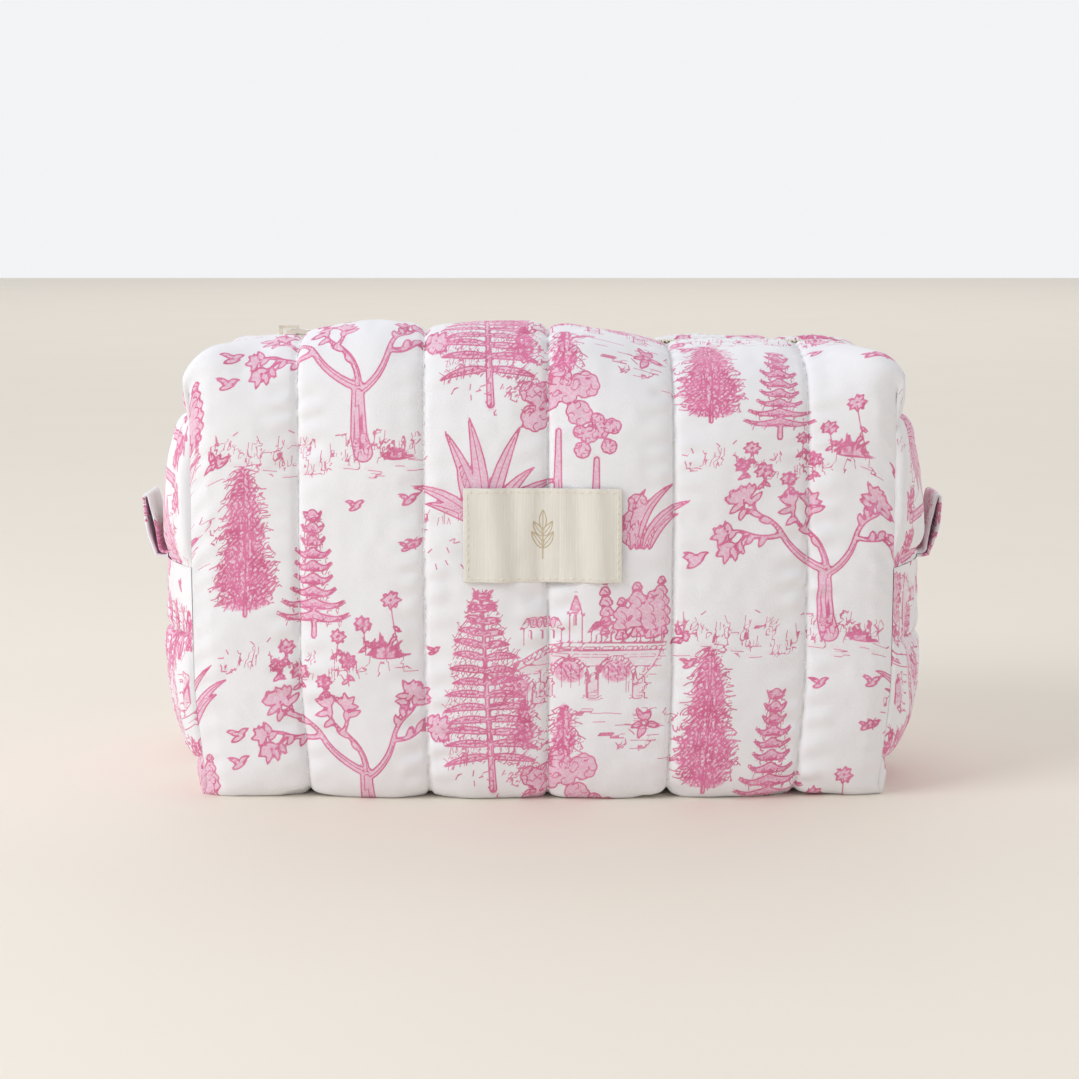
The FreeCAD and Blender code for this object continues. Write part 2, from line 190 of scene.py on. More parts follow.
def soft_noise(u, v, size, seed):
    """Smooth random height over the flat cloth; size is the width of a lump in millimetres."""
    a = u / size + seed * 7.31
    b = v / size + seed * 3.77
    a0, b0 = np.floor(a).astype(int), np.floor(b).astype(int)
    fa, fb = smooth(a - a0), smooth(b - b0)
    pick = lambda i, j: NOISE_TABLE[(a0 + i) % 64, (b0 + j) % 64]
    low = pick(0, 0) * (1 - fa) + pick(1, 0) * fa
    high = pick(0, 1) * (1 - fa) + pick(1, 1) * fa
    return low * (1 - fb) + high * fb


PUFF = 3.0
PUCKER = 0.95


def channel_puff(u, v, edges=CHANNEL_EDGES):
    """Height of the wadding between quilting seams, with the puckers that the stitches pull."""
    height = np.zeros(np.broadcast(u, v).shape)
    u = np.broadcast_to(u, height.shape)
    v = np.broadcast_to(v, height.shape)
    for left, right in zip(edges[:-1], edges[1:]):
        inside = (u >= left) & (u <= right)
        share = np.clip((u - left) / (right - left), 0.0, 1.0)
        dome = np.power(np.clip(1.0 - np.abs(2.0 * share - 1.0) ** 2.4, 0.0, 1.0), 0.62)
        height = np.where(inside, PUFF * dome, height)
    for number, seam in enumerate(edges):
        away = np.abs(u - seam)
        wander = 2.2 * soft_noise(u * 0.25, v, 11.0, number + 2)
        pucker = np.sin((v + wander + np.sign(u - seam) * 1.6) * 2.0 * math.pi / 8.5)
        strength = 0.5 + 0.5 * soft_noise(u * 0.1, v, 23.0, number + 9)
        height = height + PUCKER * strength * pucker * np.exp(-((away - 4.4) / 4.2) ** 2)
        height = height - 0.9 * np.exp(-(away / 0.9) ** 2)
    return height


def cloth_relief(u, v):
    """Slow sag and small creases of the cotton."""
    return (
        0.9 * soft_noise(u, v, 31.0, 1)
        + 0.55 * soft_noise(u, v * 0.7, 13.0, 3)
        + 0.22 * soft_noise(u * 1.4, v, 5.5, 5)
    )


def grid_normals(places):
    across = np.gradient(places, axis=1)
    along = np.gradient(places, axis=0)
    normal = np.cross(across, along)
    return normal / np.maximum(np.linalg.norm(normal, axis=-1, keepdims=True), 1e-9)


# ---- the printed scenes: pen strokes in flat millimetres ----------------------------------------

class Sheet:
    """Ink on a grid of flat cloth: distance to the nearest stroke, which side of it, and tone."""

    def __init__(self, u, v):
        self.u = u
        self.v = v
        self.gap = np.full(u.shape, 9.0, np.float32)
        self.side = np.full(u.shape, 9.0, np.float32)
        self.tone = np.zeros(u.shape, np.float32)
        self.form = np.full(u.shape, 9.0, np.float32)

    def window(self, low, high):
        """Rows and columns whose flat place may lie in a box (the grid is regular in u and v)."""
        rows = np.nonzero((self.v[:, 0] >= low[1]) & (self.v[:, 0] <= high[1]))[0]
        cols = np.nonzero((self.u[0] >= low[0]) & (self.u[0] <= high[0]))[0]
        if len(rows) == 0 or len(cols) == 0:
            return None
        return slice(rows[0], rows[-1] + 1), slice(cols[0], cols[-1] + 1)

    def stroke(self, points, width):
        """Line of a given width through the points."""
        reach = 1.8
        for start, end in zip(points[:-1], points[1:]):
            where = self.window(np.minimum(start, end) - reach, np.maximum(start, end) + reach)
            if where is None:
                continue
            run = end - start
            length = max(float(np.hypot(*run)), 1e-6)
            du, dv = self.u[where] - start[0], self.v[where] - start[1]
            along = np.clip((du * run[0] + dv * run[1]) / length, 0.0, length)
            side = (du * run[1] - dv * run[0]) / length
            gap = np.hypot(du - along * run[0] / length, dv - along * run[1] / length)
            nearer = gap < self.gap[where]
            self.gap[where] = np.where(nearer, gap, self.gap[where])
            self.side[where] = np.where(nearer, side / width, self.side[where])

    def shape(self, points, halves):
        """Filled shape round a path, with a half width at each of its points."""
        for start, end, near_half, far_half in zip(points[:-1], points[1:], halves[:-1], halves[1:]):
            reach = max(near_half, far_half) + 1.6
            where = self.window(np.minimum(start, end) - reach, np.maximum(start, end) + reach)
            if where is None:
                continue
            run = end - start
            square = max(float(run @ run), 1e-9)
            du, dv = self.u[where] - start[0], self.v[where] - start[1]
            share = np.clip((du * run[0] + dv * run[1]) / square, 0.0, 1.0)
            gap = np.hypot(du - share * run[0], dv - share * run[1])
            gap = gap - near_half - (far_half - near_half) * share
            self.form[where] = np.minimum(self.form[where], gap)

    def wash(self, centre, radii, tone):
        """Soft oval of tone, darkest in the middle."""
        centre, radii = np.array(centre), np.array(radii)
        where = self.window(centre - radii, centre + radii)
        if where is None:
            return
        across = (self.u[where] - centre[0]) / radii[0]
        value = tone * smooth((1.0 - np.hypot(across, (self.v[where] - centre[1]) / radii[1])) * 2.5)
        self.tone[where] = np.maximum(self.tone[where], value)


def bent(start, angle, length, bend, count=6):
    """A stroke that leaves start at an angle and turns by bend over its length."""
    share = np.linspace(0.0, 1.0, count)
    headings = angle + bend * share
    step = length / (count - 1)
    path = [np.array(start, float)]
    for heading in headings[:-1]:
        path.append(path[-1] + step * np.array([math.cos(heading), math.sin(heading)]))
    return np.array(path)


class Pen:
    """Collects the strokes and washes of one scene, to be put down on any sheet."""

    def __init__(self, seed):
        self.random = np.random.default_rng(seed)
        self.strokes = []
        self.washes = []
        self.shapes = []

    def line(self, points, width=0.3):
        self.strokes.append((np.asarray(points, float), width))

    def wash(self, centre, radii, tone):
        self.washes.append((centre, radii, tone))

    def shape(self, points, halves):
        self.shapes.append((np.asarray(points, float), np.asarray(halves, float)))

    def disc(self, centre, radius):
        self.shape([centre, (centre[0] + 0.01, centre[1])], [radius, radius])

    def near(self, spread):
        return self.random.uniform(-spread, spread)

    def put(self, sheet, u, v):
        place = np.array([u, v])
        for points, width in self.strokes:
            sheet.stroke(points + place, width)
        for points, halves in self.shapes:
            sheet.shape(points + place, halves)
        for centre, radii, tone in self.washes:
            sheet.wash((centre[0] + u, centre[1] + v), radii, tone)


FINE = 0.17
HAIR = FINE * 0.8
MEDIUM = 0.22
BOLD = 0.32


def blade(pen, at, angle, length, width, bend=0.0, tone=0.0, vein=True):
    """Curved leaf: an outlined shape with a middle vein; tone darkens it."""
    middle = bent(at, angle, length, bend, 8)
    share = np.linspace(0.0, 1.0, 8)
    half = width * np.sin(math.pi * (0.06 + 0.94 * share) ** 0.8) ** 0.9
    pen.shape(middle, np.maximum(half, 0.05))
    if vein:
        pen.line(middle[:-1], FINE)
    if tone > 0:
        for point in middle[1:-1]:
            pen.wash(point, (width * 1.1, width * 1.1), tone)


def leaf_tuft(pen, at, radius, count=6, tone=0.0):
    for number in range(count):
        angle = 2 * math.pi * number / count + pen.near(0.5)
        start = np.array(at) + 0.3 * radius * np.array([math.cos(angle), math.sin(angle)])
        length = radius * (0.85 + pen.near(0.3))
        blade(pen, start, angle, length, radius * 0.22, pen.near(0.6), tone, False)


def trunk(pen, points, wide_low, wide_high, tone=0.0):
    """Trunk or limb: an outlined shape with a bark line."""
    points = np.asarray(points, float)
    half = np.linspace(wide_low, wide_high, len(points)) / 2.0
    pen.shape(points, half)
    if wide_low > 1.6:
        pen.line(points[:-1] + np.array([0.3, 0.0]), FINE)
    if tone > 0:
        for point, reach in zip(points, half):
            pen.wash(point, (reach * 1.3 + 0.5, reach * 1.3 + 1.4), tone)


def dense_pine(pen, x, y, high, wide):
    """Conifer of stacked short curved strokes, dark and full."""
    trunk(pen, [(x, y - 1.5), (x, y + high * 0.12)], 1.2, 1.0)
    rows = int(high / 2.2)
    for row in range(rows):
        share = row / rows
        half = wide * 0.5 * (1.0 - share ** 1.7) ** 0.75 * (0.92 + pen.near(0.2)) + 0.7
        level = y + high * (0.05 + 0.95 * share)
        count = max(2, int(half / 1.5))
        for number in range(-count, count + 1):
            base = x + half * number / count
            lean = -math.pi / 2 + 1.1 * number / count + pen.near(0.3)
            start = (base * 0.8 + x * 0.2, level + 1.1)
            pen.line(bent(start, lean, 2.9 + pen.near(0.7), pen.near(0.9), 4), MEDIUM)
        pen.wash((x, level), (half * 1.0, 2.6), 0.95)


def layered_tree(pen, x, y, high, wide):
    """Tree of full flat pads with upturned tips, wide below."""
    trunk(pen, [(x, y - 2), (x, y + high * 0.2)], 1.6, 1.2)
    layers = 9
    for layer_number in range(layers):
        share = layer_number / (layers - 1)
        half = wide * 0.5 * (1.0 - 0.75 * share ** 0.8) * (1.0 + pen.near(0.12))
        level = y + high * (0.12 + 0.86 * share)
        for side in (-1, 1):
            spread = np.linspace(0.0, 1.0, 7)
            sag = level - 1.3 * np.sin(spread * math.pi * 0.75) + 1.9 * spread ** 3
            rim = np.stack([x + side * half * spread, sag], axis=1)
            pen.shape(rim, 1.5 - 1.3 * spread)
            pen.line(rim - np.array([0.0, 0.9]), MEDIUM)
            for part in (0.35, 0.7):
                start = (x + side * half * part, level - 1.0)
                pen.line(bent(start, -math.pi / 2 + pen.near(0.7), 2.0, 0.3, 3), FINE)
        pen.wash((x, level - 0.6), (half * 0.8, 2.0), 0.75)


def fern_spruce(pen, x, y, high, wide):
    """Open conifer of long arching fronds."""
    trunk(pen, [(x + 1.6, y - 8), (x + 0.6, y + high * 0.25), (x - 1.5, y + high)], 2.2, 0.5, 0.4)
    rows = 14
    for row in range(rows):
        share = row / (rows - 1)
        base = (x + 0.8 - 2.2 * share, y + high * (0.05 + 0.93 * share))
        half = wide * 0.5 * (1.0 - share ** 1.3) ** 0.7 + 2.6
        for side in (-1, 1):
            length = half * (1.0 + pen.near(0.16))
            angle = math.pi / 2 - side * (1.12 + 0.4 * (1.0 - share) + pen.near(0.1))
            blade(pen, base, angle, length, 1.15, -side * (0.5 + pen.near(0.2)), 0.45)
            frond = bent(base, angle, length, -side * 0.5, 8)
            for number in range(1, 7):
                heading = math.atan2(*(frond[number + 1] - frond[number])[::-1])
                for turn in (-1.0, 1.0):
                    pen.line(bent(frond[number], heading + turn, 1.9, 0.0, 2), HAIR)


def branching_tree(pen, x, y, high, wide):
    """Gnarled tree whose outer branches carry single leaves."""

    def limb(start, angle, length, width, level, turn_way):
        path = bent(start, angle, length, turn_way * 0.8 + pen.near(0.2), 7)
        trunk(pen, path, width, width * 0.62)
        if level <= 1:
            for number in range(3, 7, 2 if level else 1):
                side = 1 if number % 2 else -1
                heading = angle + side * (0.95 + pen.near(0.3))
                blade(pen, path[number], heading, 4.2 + pen.near(0.8), 0.95, pen.near(0.5), 0.3, False)
        if level == 0:
            for turn in (-0.8, 0.0, 0.8):
                heading = angle + turn_way * 0.6 + turn
                blade(pen, path[-1], heading, 4.4 + pen.near(0.6), 1.0, 0.0, 0.3, False)
            return
        limb(path[-1], angle + 0.62 + pen.near(0.15), length * 0.66, width * 0.6, level - 1, -1)
        limb(path[-1], angle - 0.55 + pen.near(0.15), length * 0.62, width * 0.6, level - 1, 1)

    rise = high * 0.36
    foot = [(x + 1.6, y - 1), (x + 0.3, y + rise * 0.2), (x, y + rise * 0.6), (x - 0.1, y + rise)]
    trunk(pen, foot, 6.0, 3.6)
    for offset in (-1.0, 0.3, 1.2):
        pen.line([(x + offset * 1.5, y + 0.5), (x + offset * 0.7, y + rise * 0.95)], FINE)
    reach = high * 0.29
    limb((x - 0.6, y + rise), math.pi / 2 + 1.15, reach * 1.15, 2.5, 2, -1)
    limb((x + 0.2, y + rise * 1.02), math.pi / 2 + 0.1, reach * 0.95, 1.8, 1, 1)
    limb((x + 0.8, y + rise * 0.92), math.pi / 2 - 0.95, reach * 1.0, 2.2, 2, 1)


def scallops(pen, centre, radius, count=8, tone=0.0):
    """Bumpy clump of foliage with a few inner curls."""
    for number in range(count):
        at = 2 * math.pi * number / count + pen.near(0.2)
        bump = (centre[0] + radius * 0.62 * math.cos(at), centre[1] + radius * 0.62 * math.sin(at))
        pen.disc(bump, radius * 0.42)
    pen.disc(centre, radius * 0.6)
    inner = max(3, count // 2)
    for number in range(inner):
        at = 2 * math.pi * number / inner + pen.near(0.5)
        bump = (centre[0] + radius * 0.42 * math.cos(at), centre[1] + radius * 0.42 * math.sin(at))
        pen.line(bent(bump, at - 1.2, radius * 0.6, 2.4, 5), FINE)
    if tone > 0:
        pen.wash(centre, (radius * 0.95, radius * 0.95), tone)


def cloud_tree(pen, x, y, high, wide):
    """Tree with clumps of scalloped foliage."""
    trunk(pen, [(x + 0.3, y), (x - 0.2, y + high * 0.3), (x, y + high * 0.62)], 3.0, 1.6, 0.3)
    clumps = ((-0.30, 0.70, 0.17), (0.26, 0.74, 0.16), (-0.16, 0.84, 0.18), (0.34, 0.93, 0.17),
              (0.10, 0.88, 0.16), (-0.36, 0.86, 0.13), (0.02, 0.98, 0.14))
    for across, up, size in clumps:
        tone = 0.55 if pen.random.random() < 0.3 else 0.0
        scallops(pen, (x + wide * across, y + high * up), wide * size, 8, tone)


def long_leaf_plant(pen, x, y, high):
    """Plant of broad arching leaves rising from one foot."""
    for lean, share, width, bend in (
        (0.95, 0.72, 1.9, 0.75), (0.62, 0.62, 1.9, -0.35), (0.32, 0.92, 2.2, 0.3),
        (0.05, 1.0, 2.3, 0.25), (-0.22, 0.95, 2.1, -0.35), (-0.5, 0.66, 2.0, -0.6),
        (-0.85, 0.75, 1.9, -0.7), (1.2, 0.5, 1.6, 0.6), (-1.15, 0.46, 1.6, -0.5),
    ):
        start = (x - lean * 3.0 + pen.near(0.5), y)
        blade(pen, start, math.pi / 2 + lean * 0.8, high * share, width, bend)


def daisy(pen, x, y, radius, stem):
    petals = 8
    for petal in range(petals):
        angle = 2 * math.pi * petal / petals + pen.near(0.15)
        start = (x + 0.5 * math.cos(angle), y + 0.5 * math.sin(angle) * 0.8)
        blade(pen, start, angle, radius, radius * 0.24, 0.0, 0.0, False)
    if stem > 0:
        path = bent((x, y - radius * 0.6), -math.pi / 2 + pen.near(0.3), stem, pen.near(0.4), 5)
        pen.line(path, MEDIUM)
        blade(pen, path[2], -math.pi / 4, 3.0, 0.6, 0.3, 0.0, False)
        blade(pen, path[3], -3 * math.pi / 4, 2.6, 0.6, -0.3, 0.0, False)


def spikes(pen, x, y, radius, count=13):
    for number in range(count):
        angle = math.pi * (0.06 + 0.88 * number / (count - 1))
        heading = angle + pen.near(0.08)
        length = radius * (0.8 + pen.near(0.2))
        blade(pen, (x, y), heading, length, 0.45, pen.near(0.2), 0.0, False)


def grass(pen, low, high, y, deep=9.0, blades=60):
    for _ in range(blades):
        x = pen.random.uniform(low, high)
        share = 1.0 - abs(2.0 * (x - low) / (high - low) - 1.0)
        level = y - pen.random.uniform(0.0, deep) * (0.3 + 0.7 * share)
        heading = math.pi / 2 + pen.near(0.3)
        pen.line(bent((x, level), heading, 2.4 + pen.near(1.6), pen.near(0.4), 3), HAIR)
    for _ in range(int(blades * 0.2)):
        x = pen.random.uniform(low, high)
        level = y - pen.random.uniform(0.0, deep)
        pen.line(bent((x, level), pen.near(0.12), 3.0 + pen.near(1.5), pen.near(0.2), 3), HAIR)
        pen.wash((x, level + 0.6), (3.0, 1.3), 0.2)


def specks(pen, low, high, bottom, top, count=24):
    """Tiny scattered petals and seeds."""
    for _ in range(count):
        x = pen.random.uniform(low, high)
        y = pen.random.uniform(bottom, top)
        heading = pen.random.uniform(0.0, math.pi)
        pen.line([(x, y), (x + 0.7 * math.cos(heading), y + 0.7 * math.sin(heading))], MEDIUM)


def ripples(pen, low, high, bottom, top, count=22):
    for _ in range(count):
        x = pen.random.uniform(low, high)
        y = pen.random.uniform(bottom, top)
        pen.line([(x, y), (x + 2.6 + pen.near(1.2), y + pen.near(0.15))], HAIR)


def bird(pen, x, y, size):
    """Small plump bird in flight."""
    blade(pen, (x, y), 2.4, size * 1.2, size * 0.2, 0.7, 0.0, False)
    blade(pen, (x, y), 0.9, size * 1.1, size * 0.2, -0.8, 0.0, False)
    blade(pen, (x - size * 0.6, y - size * 0.4), 0.35, size * 1.3, size * 0.2, 0.1, 0.4, False)


def poplar(pen, x, y, high, wide):
    pen.line([(x, y), (x, y + high * 0.2)], MEDIUM)
    rows = max(3, int(high / 3.2))
    for row in range(rows):
        share = row / (rows - 1)
        half = wide * 0.5 * math.sin(math.pi * (0.2 + 0.68 * share)) ** 0.7
        centre = (x + pen.near(0.4), y + high * (0.18 + 0.78 * share))
        pen.disc(centre, half * 0.8)
        pen.disc((centre[0] - half * 0.6, centre[1] - 0.8), half * 0.5)
        pen.disc((centre[0] + half * 0.6, centre[1] - 0.6), half * 0.5)
        pen.line(bent(centre, -0.6, half * 1.3, -1.6, 4), FINE)
        pen.wash(centre, (half, 1.6), 0.45)


def stone_bridge(pen):
    """Arched stone bridge, with a long house, a tower and trees behind it."""
    deck_x = np.linspace(-20.0, 36.0, 15)
    deck_y = 33.5 + 9.5 * smooth((deck_x + 20.0) / 24.0) + 0.5 * (deck_x + 20.0) / 56.0
    for drop, width in ((0.0, MEDIUM), (1.3, FINE), (2.6, MEDIUM)):
        pen.line(np.stack([deck_x, deck_y - drop], axis=1), width)
    rail_x = np.linspace(-19.0, 35.0, 37)
    for x, y in zip(rail_x, np.interp(rail_x, deck_x, deck_y)):
        pen.line([(x, y - 1.3), (x, y - 2.6)], HAIR)
    arches = ((-10.5, 4.3, 26.5, 23.0), (5.5, 5.4, 31.0, 25.0), (20.5, 5.4, 31.5, 25.0))
    rise, ring = 1.15, 1.2
    for centre, radius, spring, foot in arches:
        middle = np.array([centre, spring])
        for wide in (radius, radius + ring):
            turn = np.linspace(0.0, math.pi, 12)
            pen.line(middle + wide * np.stack([np.cos(turn), rise * np.sin(turn)], axis=1), MEDIUM)
        for turn in np.linspace(0.15, math.pi - 0.15, 11):
            way = np.array([math.cos(turn), rise * math.sin(turn)])
            pen.line([middle + radius * way, middle + (radius + ring) * way], HAIR)
        for side in (-1, 1):
            near, pier = centre + side * radius, centre + side * (radius + 3.8)
            pen.line([(near, spring), (near, foot)], MEDIUM)
            pen.line([(pier, spring + 3.0), (pier, foot)], MEDIUM)
            pen.wash((centre + side * (radius + 1.9), (spring + foot) / 2), (2.6, 5.0), 0.3)
            pen.line([(near - 0.6 * side, foot), (pier + 0.6 * side, foot)], FINE)
        pen.wash((centre, spring + radius * 0.45), (radius * 1.05, radius * 0.75), 1.0)
        for stripe in (-0.45, 0.1, 0.6):
            top = spring + radius * 0.9 * math.sqrt(1.0 - stripe ** 2)
            x = centre + radius * stripe
            pen.line([(x, top), (x, top - 6.5 - pen.near(1.5))], HAIR)
    for row in range(5):
        level = 27.0 + 2.9 * row
        for column in range(18):
            x = -18.0 + 3.1 * column + (1.5 if row % 2 else 0.0)
            deck = float(np.interp(x, deck_x, deck_y))
            clear = True
            for centre, radius, spring, _ in arches:
                beside = math.hypot(x - centre, (level - spring) / rise) > radius + 1.0
                under = abs(x - centre) < radius and level < spring
                clear = clear and beside and not under
            if level < deck - 3.0 and clear and x < 29.0 + (level - 26.0) * 0.5:
                pen.line([(x, level), (x + 1.3, level)], HAIR)
    for x in np.linspace(-17.0, 33.0, 14):
        deck = float(np.interp(x, deck_x, deck_y))
        pen.wash((x, deck - 4.5), (3.4, 4.2), 0.26)
    pen.line(bent((36.0, 43.5), -1.9, 15.0, -0.6, 7), MEDIUM)
    house_low = 43.0
    for left, right, wall, roof in ((-9.0, 3.0, 5.0, 3.4), (12.5, 19.0, 4.2, 3.0)):
        eaves, ridge = house_low + wall, house_low + wall + roof
        pen.line([(left, house_low), (left, eaves), (right, eaves), (right, house_low)], FINE)
        roof_line = [(left - 0.8, eaves), (left + 1.2, ridge), (right - 1.2, ridge), (right + 0.8, eaves)]
        pen.line(roof_line, MEDIUM)
        for line_share in np.linspace(0.15, 0.85, 7):
            x = left + (right - left) * line_share
            pen.line([(x - 0.4, eaves + 0.2), (x, ridge - 0.2)], HAIR)
        pen.wash(((left + right) / 2, eaves + roof / 2), ((right - left) * 0.55, roof * 0.7), 0.5)
        for window_share in (0.2, 0.5, 0.8):
            spot = left + (right - left) * window_share
            pen.line([(spot, house_low + wall * 0.4), (spot, house_low + wall * 0.68)], BOLD)
    tower = 7.6
    pen.line([(tower - 2, house_low), (tower - 2, house_low + 10), (tower, house_low + 16.5),
              (tower + 2, house_low + 10), (tower + 2, house_low)], MEDIUM)
    pen.line([(tower - 2.3, house_low + 10), (tower + 2.3, house_low + 10)], MEDIUM)
    pen.line([(tower, house_low + 6.6), (tower, house_low + 8.4)], BOLD)
    pen.wash((tower, house_low + 12), (1.9, 3.2), 0.75)
    for x, high, wide in (
        (17.0, 21.0, 4.0), (22.5, 14.0, 5.5), (27.0, 19.0, 6.0), (31.5, 16.0, 5.5), (35.0, 21.0, 5.0)
    ):
        poplar(pen, x, 43.5, high, wide)


def scene_pines():
    pen = Pen(11)
    dense_pine(pen, -22, 10, 47, 20)
    layered_tree(pen, 0, 4, 38, 21)
    for x, y, radius, stem in (
        (-5, -10, 2.8, 4), (3, -13, 2.4, 3), (11, -6, 2.6, 6), (16, 6, 2.6, 8), (25, 14, 2.8, 14),
        (-12, -8, 2.2, 3), (8, 2, 2.2, 6), (-9, -2, 2.4, 5),
    ):
        daisy(pen, x, y, radius, stem)
    spikes(pen, 23, -5, 9)
    grass(pen, -26, 32, -6, 8, 44)
    specks(pen, -30, 34, -12, 2, 22)
    bird(pen, 14, 44, 3.2)
    bird(pen, 33, 32, 2.8)
    return pen


def scene_branches():
    pen = Pen(5)
    branching_tree(pen, 8, 0, 54, 40)
    grass(pen, -40, 26, 2, 11, 110)
    specks(pen, -38, 30, -12, 6, 26)
    bird(pen, -34, 22, 3.8)
    bird(pen, -22, 42, 2.4)
    bird(pen, 24, -16, 3.4)
    leaf_tuft(pen, (-38, -2), 3.0, 7)
    spikes(pen, 20, -3, 6, 9)
    return pen


def scene_meadow():
    pen = Pen(23)
    long_leaf_plant(pen, -21, -6, 34)
    cloud_tree(pen, 2, -8, 50, 25)
    cloud_tree(pen, 14, -8, 36, 15)
    for x, y in ((8, -6), (20, -4), (-4, -8), (13, -12)):
        daisy(pen, x, y, 2.4, 3)
        leaf_tuft(pen, (x + 3, y - 3), 3.0, 7)
    reeds = ((25, 0.15, 20, -0.9), (27, -0.05, 25, -1.1), (29, -0.35, 22, -1.0), (31, -0.2, 15, -1.2))
    for x, lean, size, bend in reeds:
        blade(pen, (x, -14), math.pi / 2 + lean, size, 1.5, bend, 0.4)
    for y in (-10, -5, 0):
        scallops(pen, (27.0 + 0.2 * y, y), 3.2, 7, 0.55)
    grass(pen, -42, 26, -4, 7, 50)
    bird(pen, 46, -18, 4.0)
    bird(pen, -46, -14, 2.8)
    specks(pen, -34, 0, 34, 52, 40)
    specks(pen, 20, 52, 44, 60, 30)
    specks(pen, -44, -18, -22, -8, 20)
    return pen


def scene_bridge():
    pen = Pen(31)
    stone_bridge(pen)
    fern_spruce(pen, -21, 3, 56, 26)
    ripples(pen, 8, 38, 4, 22, 26)
    leaf_tuft(pen, (30, 17), 4.0, 8, 0.6)
    dense_pine(pen, -9, 10, 15, 7)
    dense_pine(pen, 4, 7, 16, 8)
    bird(pen, -38, 40, 2.6)
    bird(pen, 44, 36, 3.0)
    specks(pen, -32, 0, -8, 8, 46)
    ripples(pen, -4, 10, 3, 8, 6)
    return pen


PRINT_REPEAT = 124.0
HALF_DROP = 58.0
COLUMN_STEP = 74.3
COLUMN_START = 3.0
SCENES = {
    "pines": scene_pines(),
    "branches": scene_branches(),
    "meadow": scene_meadow(),
    "bridge": scene_bridge(),
}
# scenes of each kind of column, with their shift along it and their height above the floor
COLUMNS = (
    (("meadow", 0.0, 98.0), ("bridge", 0.0, 10.0)),
    (("branches", 5.0, 57.0), ("pines", -2.0, -5.0)),
    (("meadow", 0.0, 98.0 - HALF_DROP), ("bridge", 0.0, 10.0 - HALF_DROP)),
    (("branches", 5.0, 57.0 + HALF_DROP), ("pines", -2.0, -5.0 + HALF_DROP)),
)


def draw_print(sheet):
    margin = 60.0
    low_u, high_u = sheet.u.min() - margin, sheet.u.max() + margin
    low_v, high_v = sheet.v.min() - margin, sheet.v.max() + margin
    first = int(math.floor((low_u - COLUMN_START) / COLUMN_STEP))
    last = int(math.ceil((high_u - COLUMN_START) / COLUMN_STEP))
    for column in range(first, last + 1):
        for name, shift, height in COLUMNS[column % 4]:
            u = COLUMN_START + COLUMN_STEP * column + shift
            for repeat in range(-3, 4):
                v = V_OF_FLOOR + height + PRINT_REPEAT * repeat
                if low_v < v < high_v:
                    SCENES[name].put(sheet, u, v)


# ---- materials ----------------------------------------------------------------------------------

class Nodes:
    """Short way to build a material's node tree."""

    def __init__(self, name):
        self.material = bpy.data.materials.new(name)
        self.material.use_nodes = True
        self.tree = self.material.node_tree
        self.tree.nodes.clear()
        self.out = self.tree.nodes.new("ShaderNodeOutputMaterial")
        self.shader = self.tree.nodes.new("ShaderNodeBsdfPrincipled")
        self.link(self.shader.outputs["BSDF"], self.out.inputs["Surface"])

    def link(self, a, b):
        self.tree.links.new(a, b)

    def add(self, kind):
        return self.tree.nodes.new("ShaderNode" + kind)

    def plug(self, socket, value):
        if isinstance(value, bpy.types.NodeSocket):
            self.link(value, socket)
        else:
            socket.default_value = value

    def math(self, operation, a, b=0.0, c=0.0, clamp=False):
        node = self.add("Math")
        node.operation = operation
        node.use_clamp = clamp
        for socket, value in zip(node.inputs, (a, b, c)):
            self.plug(socket, value)
        return node.outputs[0]

    def sum(self, first, second):
        """Two values, each times its own share, added."""
        return self.math("ADD", self.math("MULTIPLY", *first), self.math("MULTIPLY", *second))

    def ramp(self, value, low, high, start=0.0, end=1.0, curve="SMOOTHSTEP"):
        node = self.add("MapRange")
        node.interpolation_type = curve
        ends = {"Value": value, "From Min": low, "From Max": high, "To Min": start, "To Max": end}
        for name, item in ends.items():
            self.plug(node.inputs[name], item)
        return node.outputs["Result"]

    def mix(self, factor, a, b, kind="MIX"):
        node = self.add("Mix")
        node.data_type = "RGBA"
        node.blend_type = kind
        self.plug(node.inputs["Factor"], factor)
        for name, value in (("A", a), ("B", b)):
            socket = next(s for s in node.inputs if s.name == name and s.type == "RGBA")
            self.plug(socket, value)
        return next(s for s in node.outputs if s.type == "RGBA")

    def attribute(self, name, output="Fac"):
        node = self.add("Attribute")
        node.attribute_type = "GEOMETRY"
        node.attribute_name = name
        return node.outputs[output]

    def noise(self, vector, scale, detail=2.0, rough=0.5):
        node = self.add("TexNoise")
        self.plug(node.inputs["Scale"], scale)
        self.plug(node.inputs["Detail"], detail)
        self.plug(node.inputs["Roughness"], rough)
        self.link(vector, node.inputs["Vector"])
        return node.outputs["Fac"]

    def place(self):
        return self.add("TexCoord").outputs["Object"]

    def bump(self, height, strength, distance):
        node = self.add("Bump")
        node.inputs["Strength"].default_value = strength
        node.inputs["Distance"].default_value = distance
        self.link(height, node.inputs["Height"])
        self.link(node.outputs["Normal"], self.shader.inputs["Normal"])

    def set(self, **values):
        names = {"rough": "Roughness", "sheen": "Sheen Weight", "sheen_rough": "Sheen Roughness",
                 "metal": "Metallic", "coat": "Coat Weight", "coat_rough": "Coat Roughness",
                 "specular": "Specular IOR Level", "color": "Base Color"}
        for key, value in values.items():
            self.plug(self.shader.inputs[names[key]], value)


def colour(red, green, blue):
    """sRGB 0-255 to linear."""
    def linear(c):
        c /= 255.0
        return c / 12.92 if c <= 0.04045 else ((c + 0.055) / 1.055) ** 2.4
    return (linear(red), linear(green), linear(blue), 1.0)


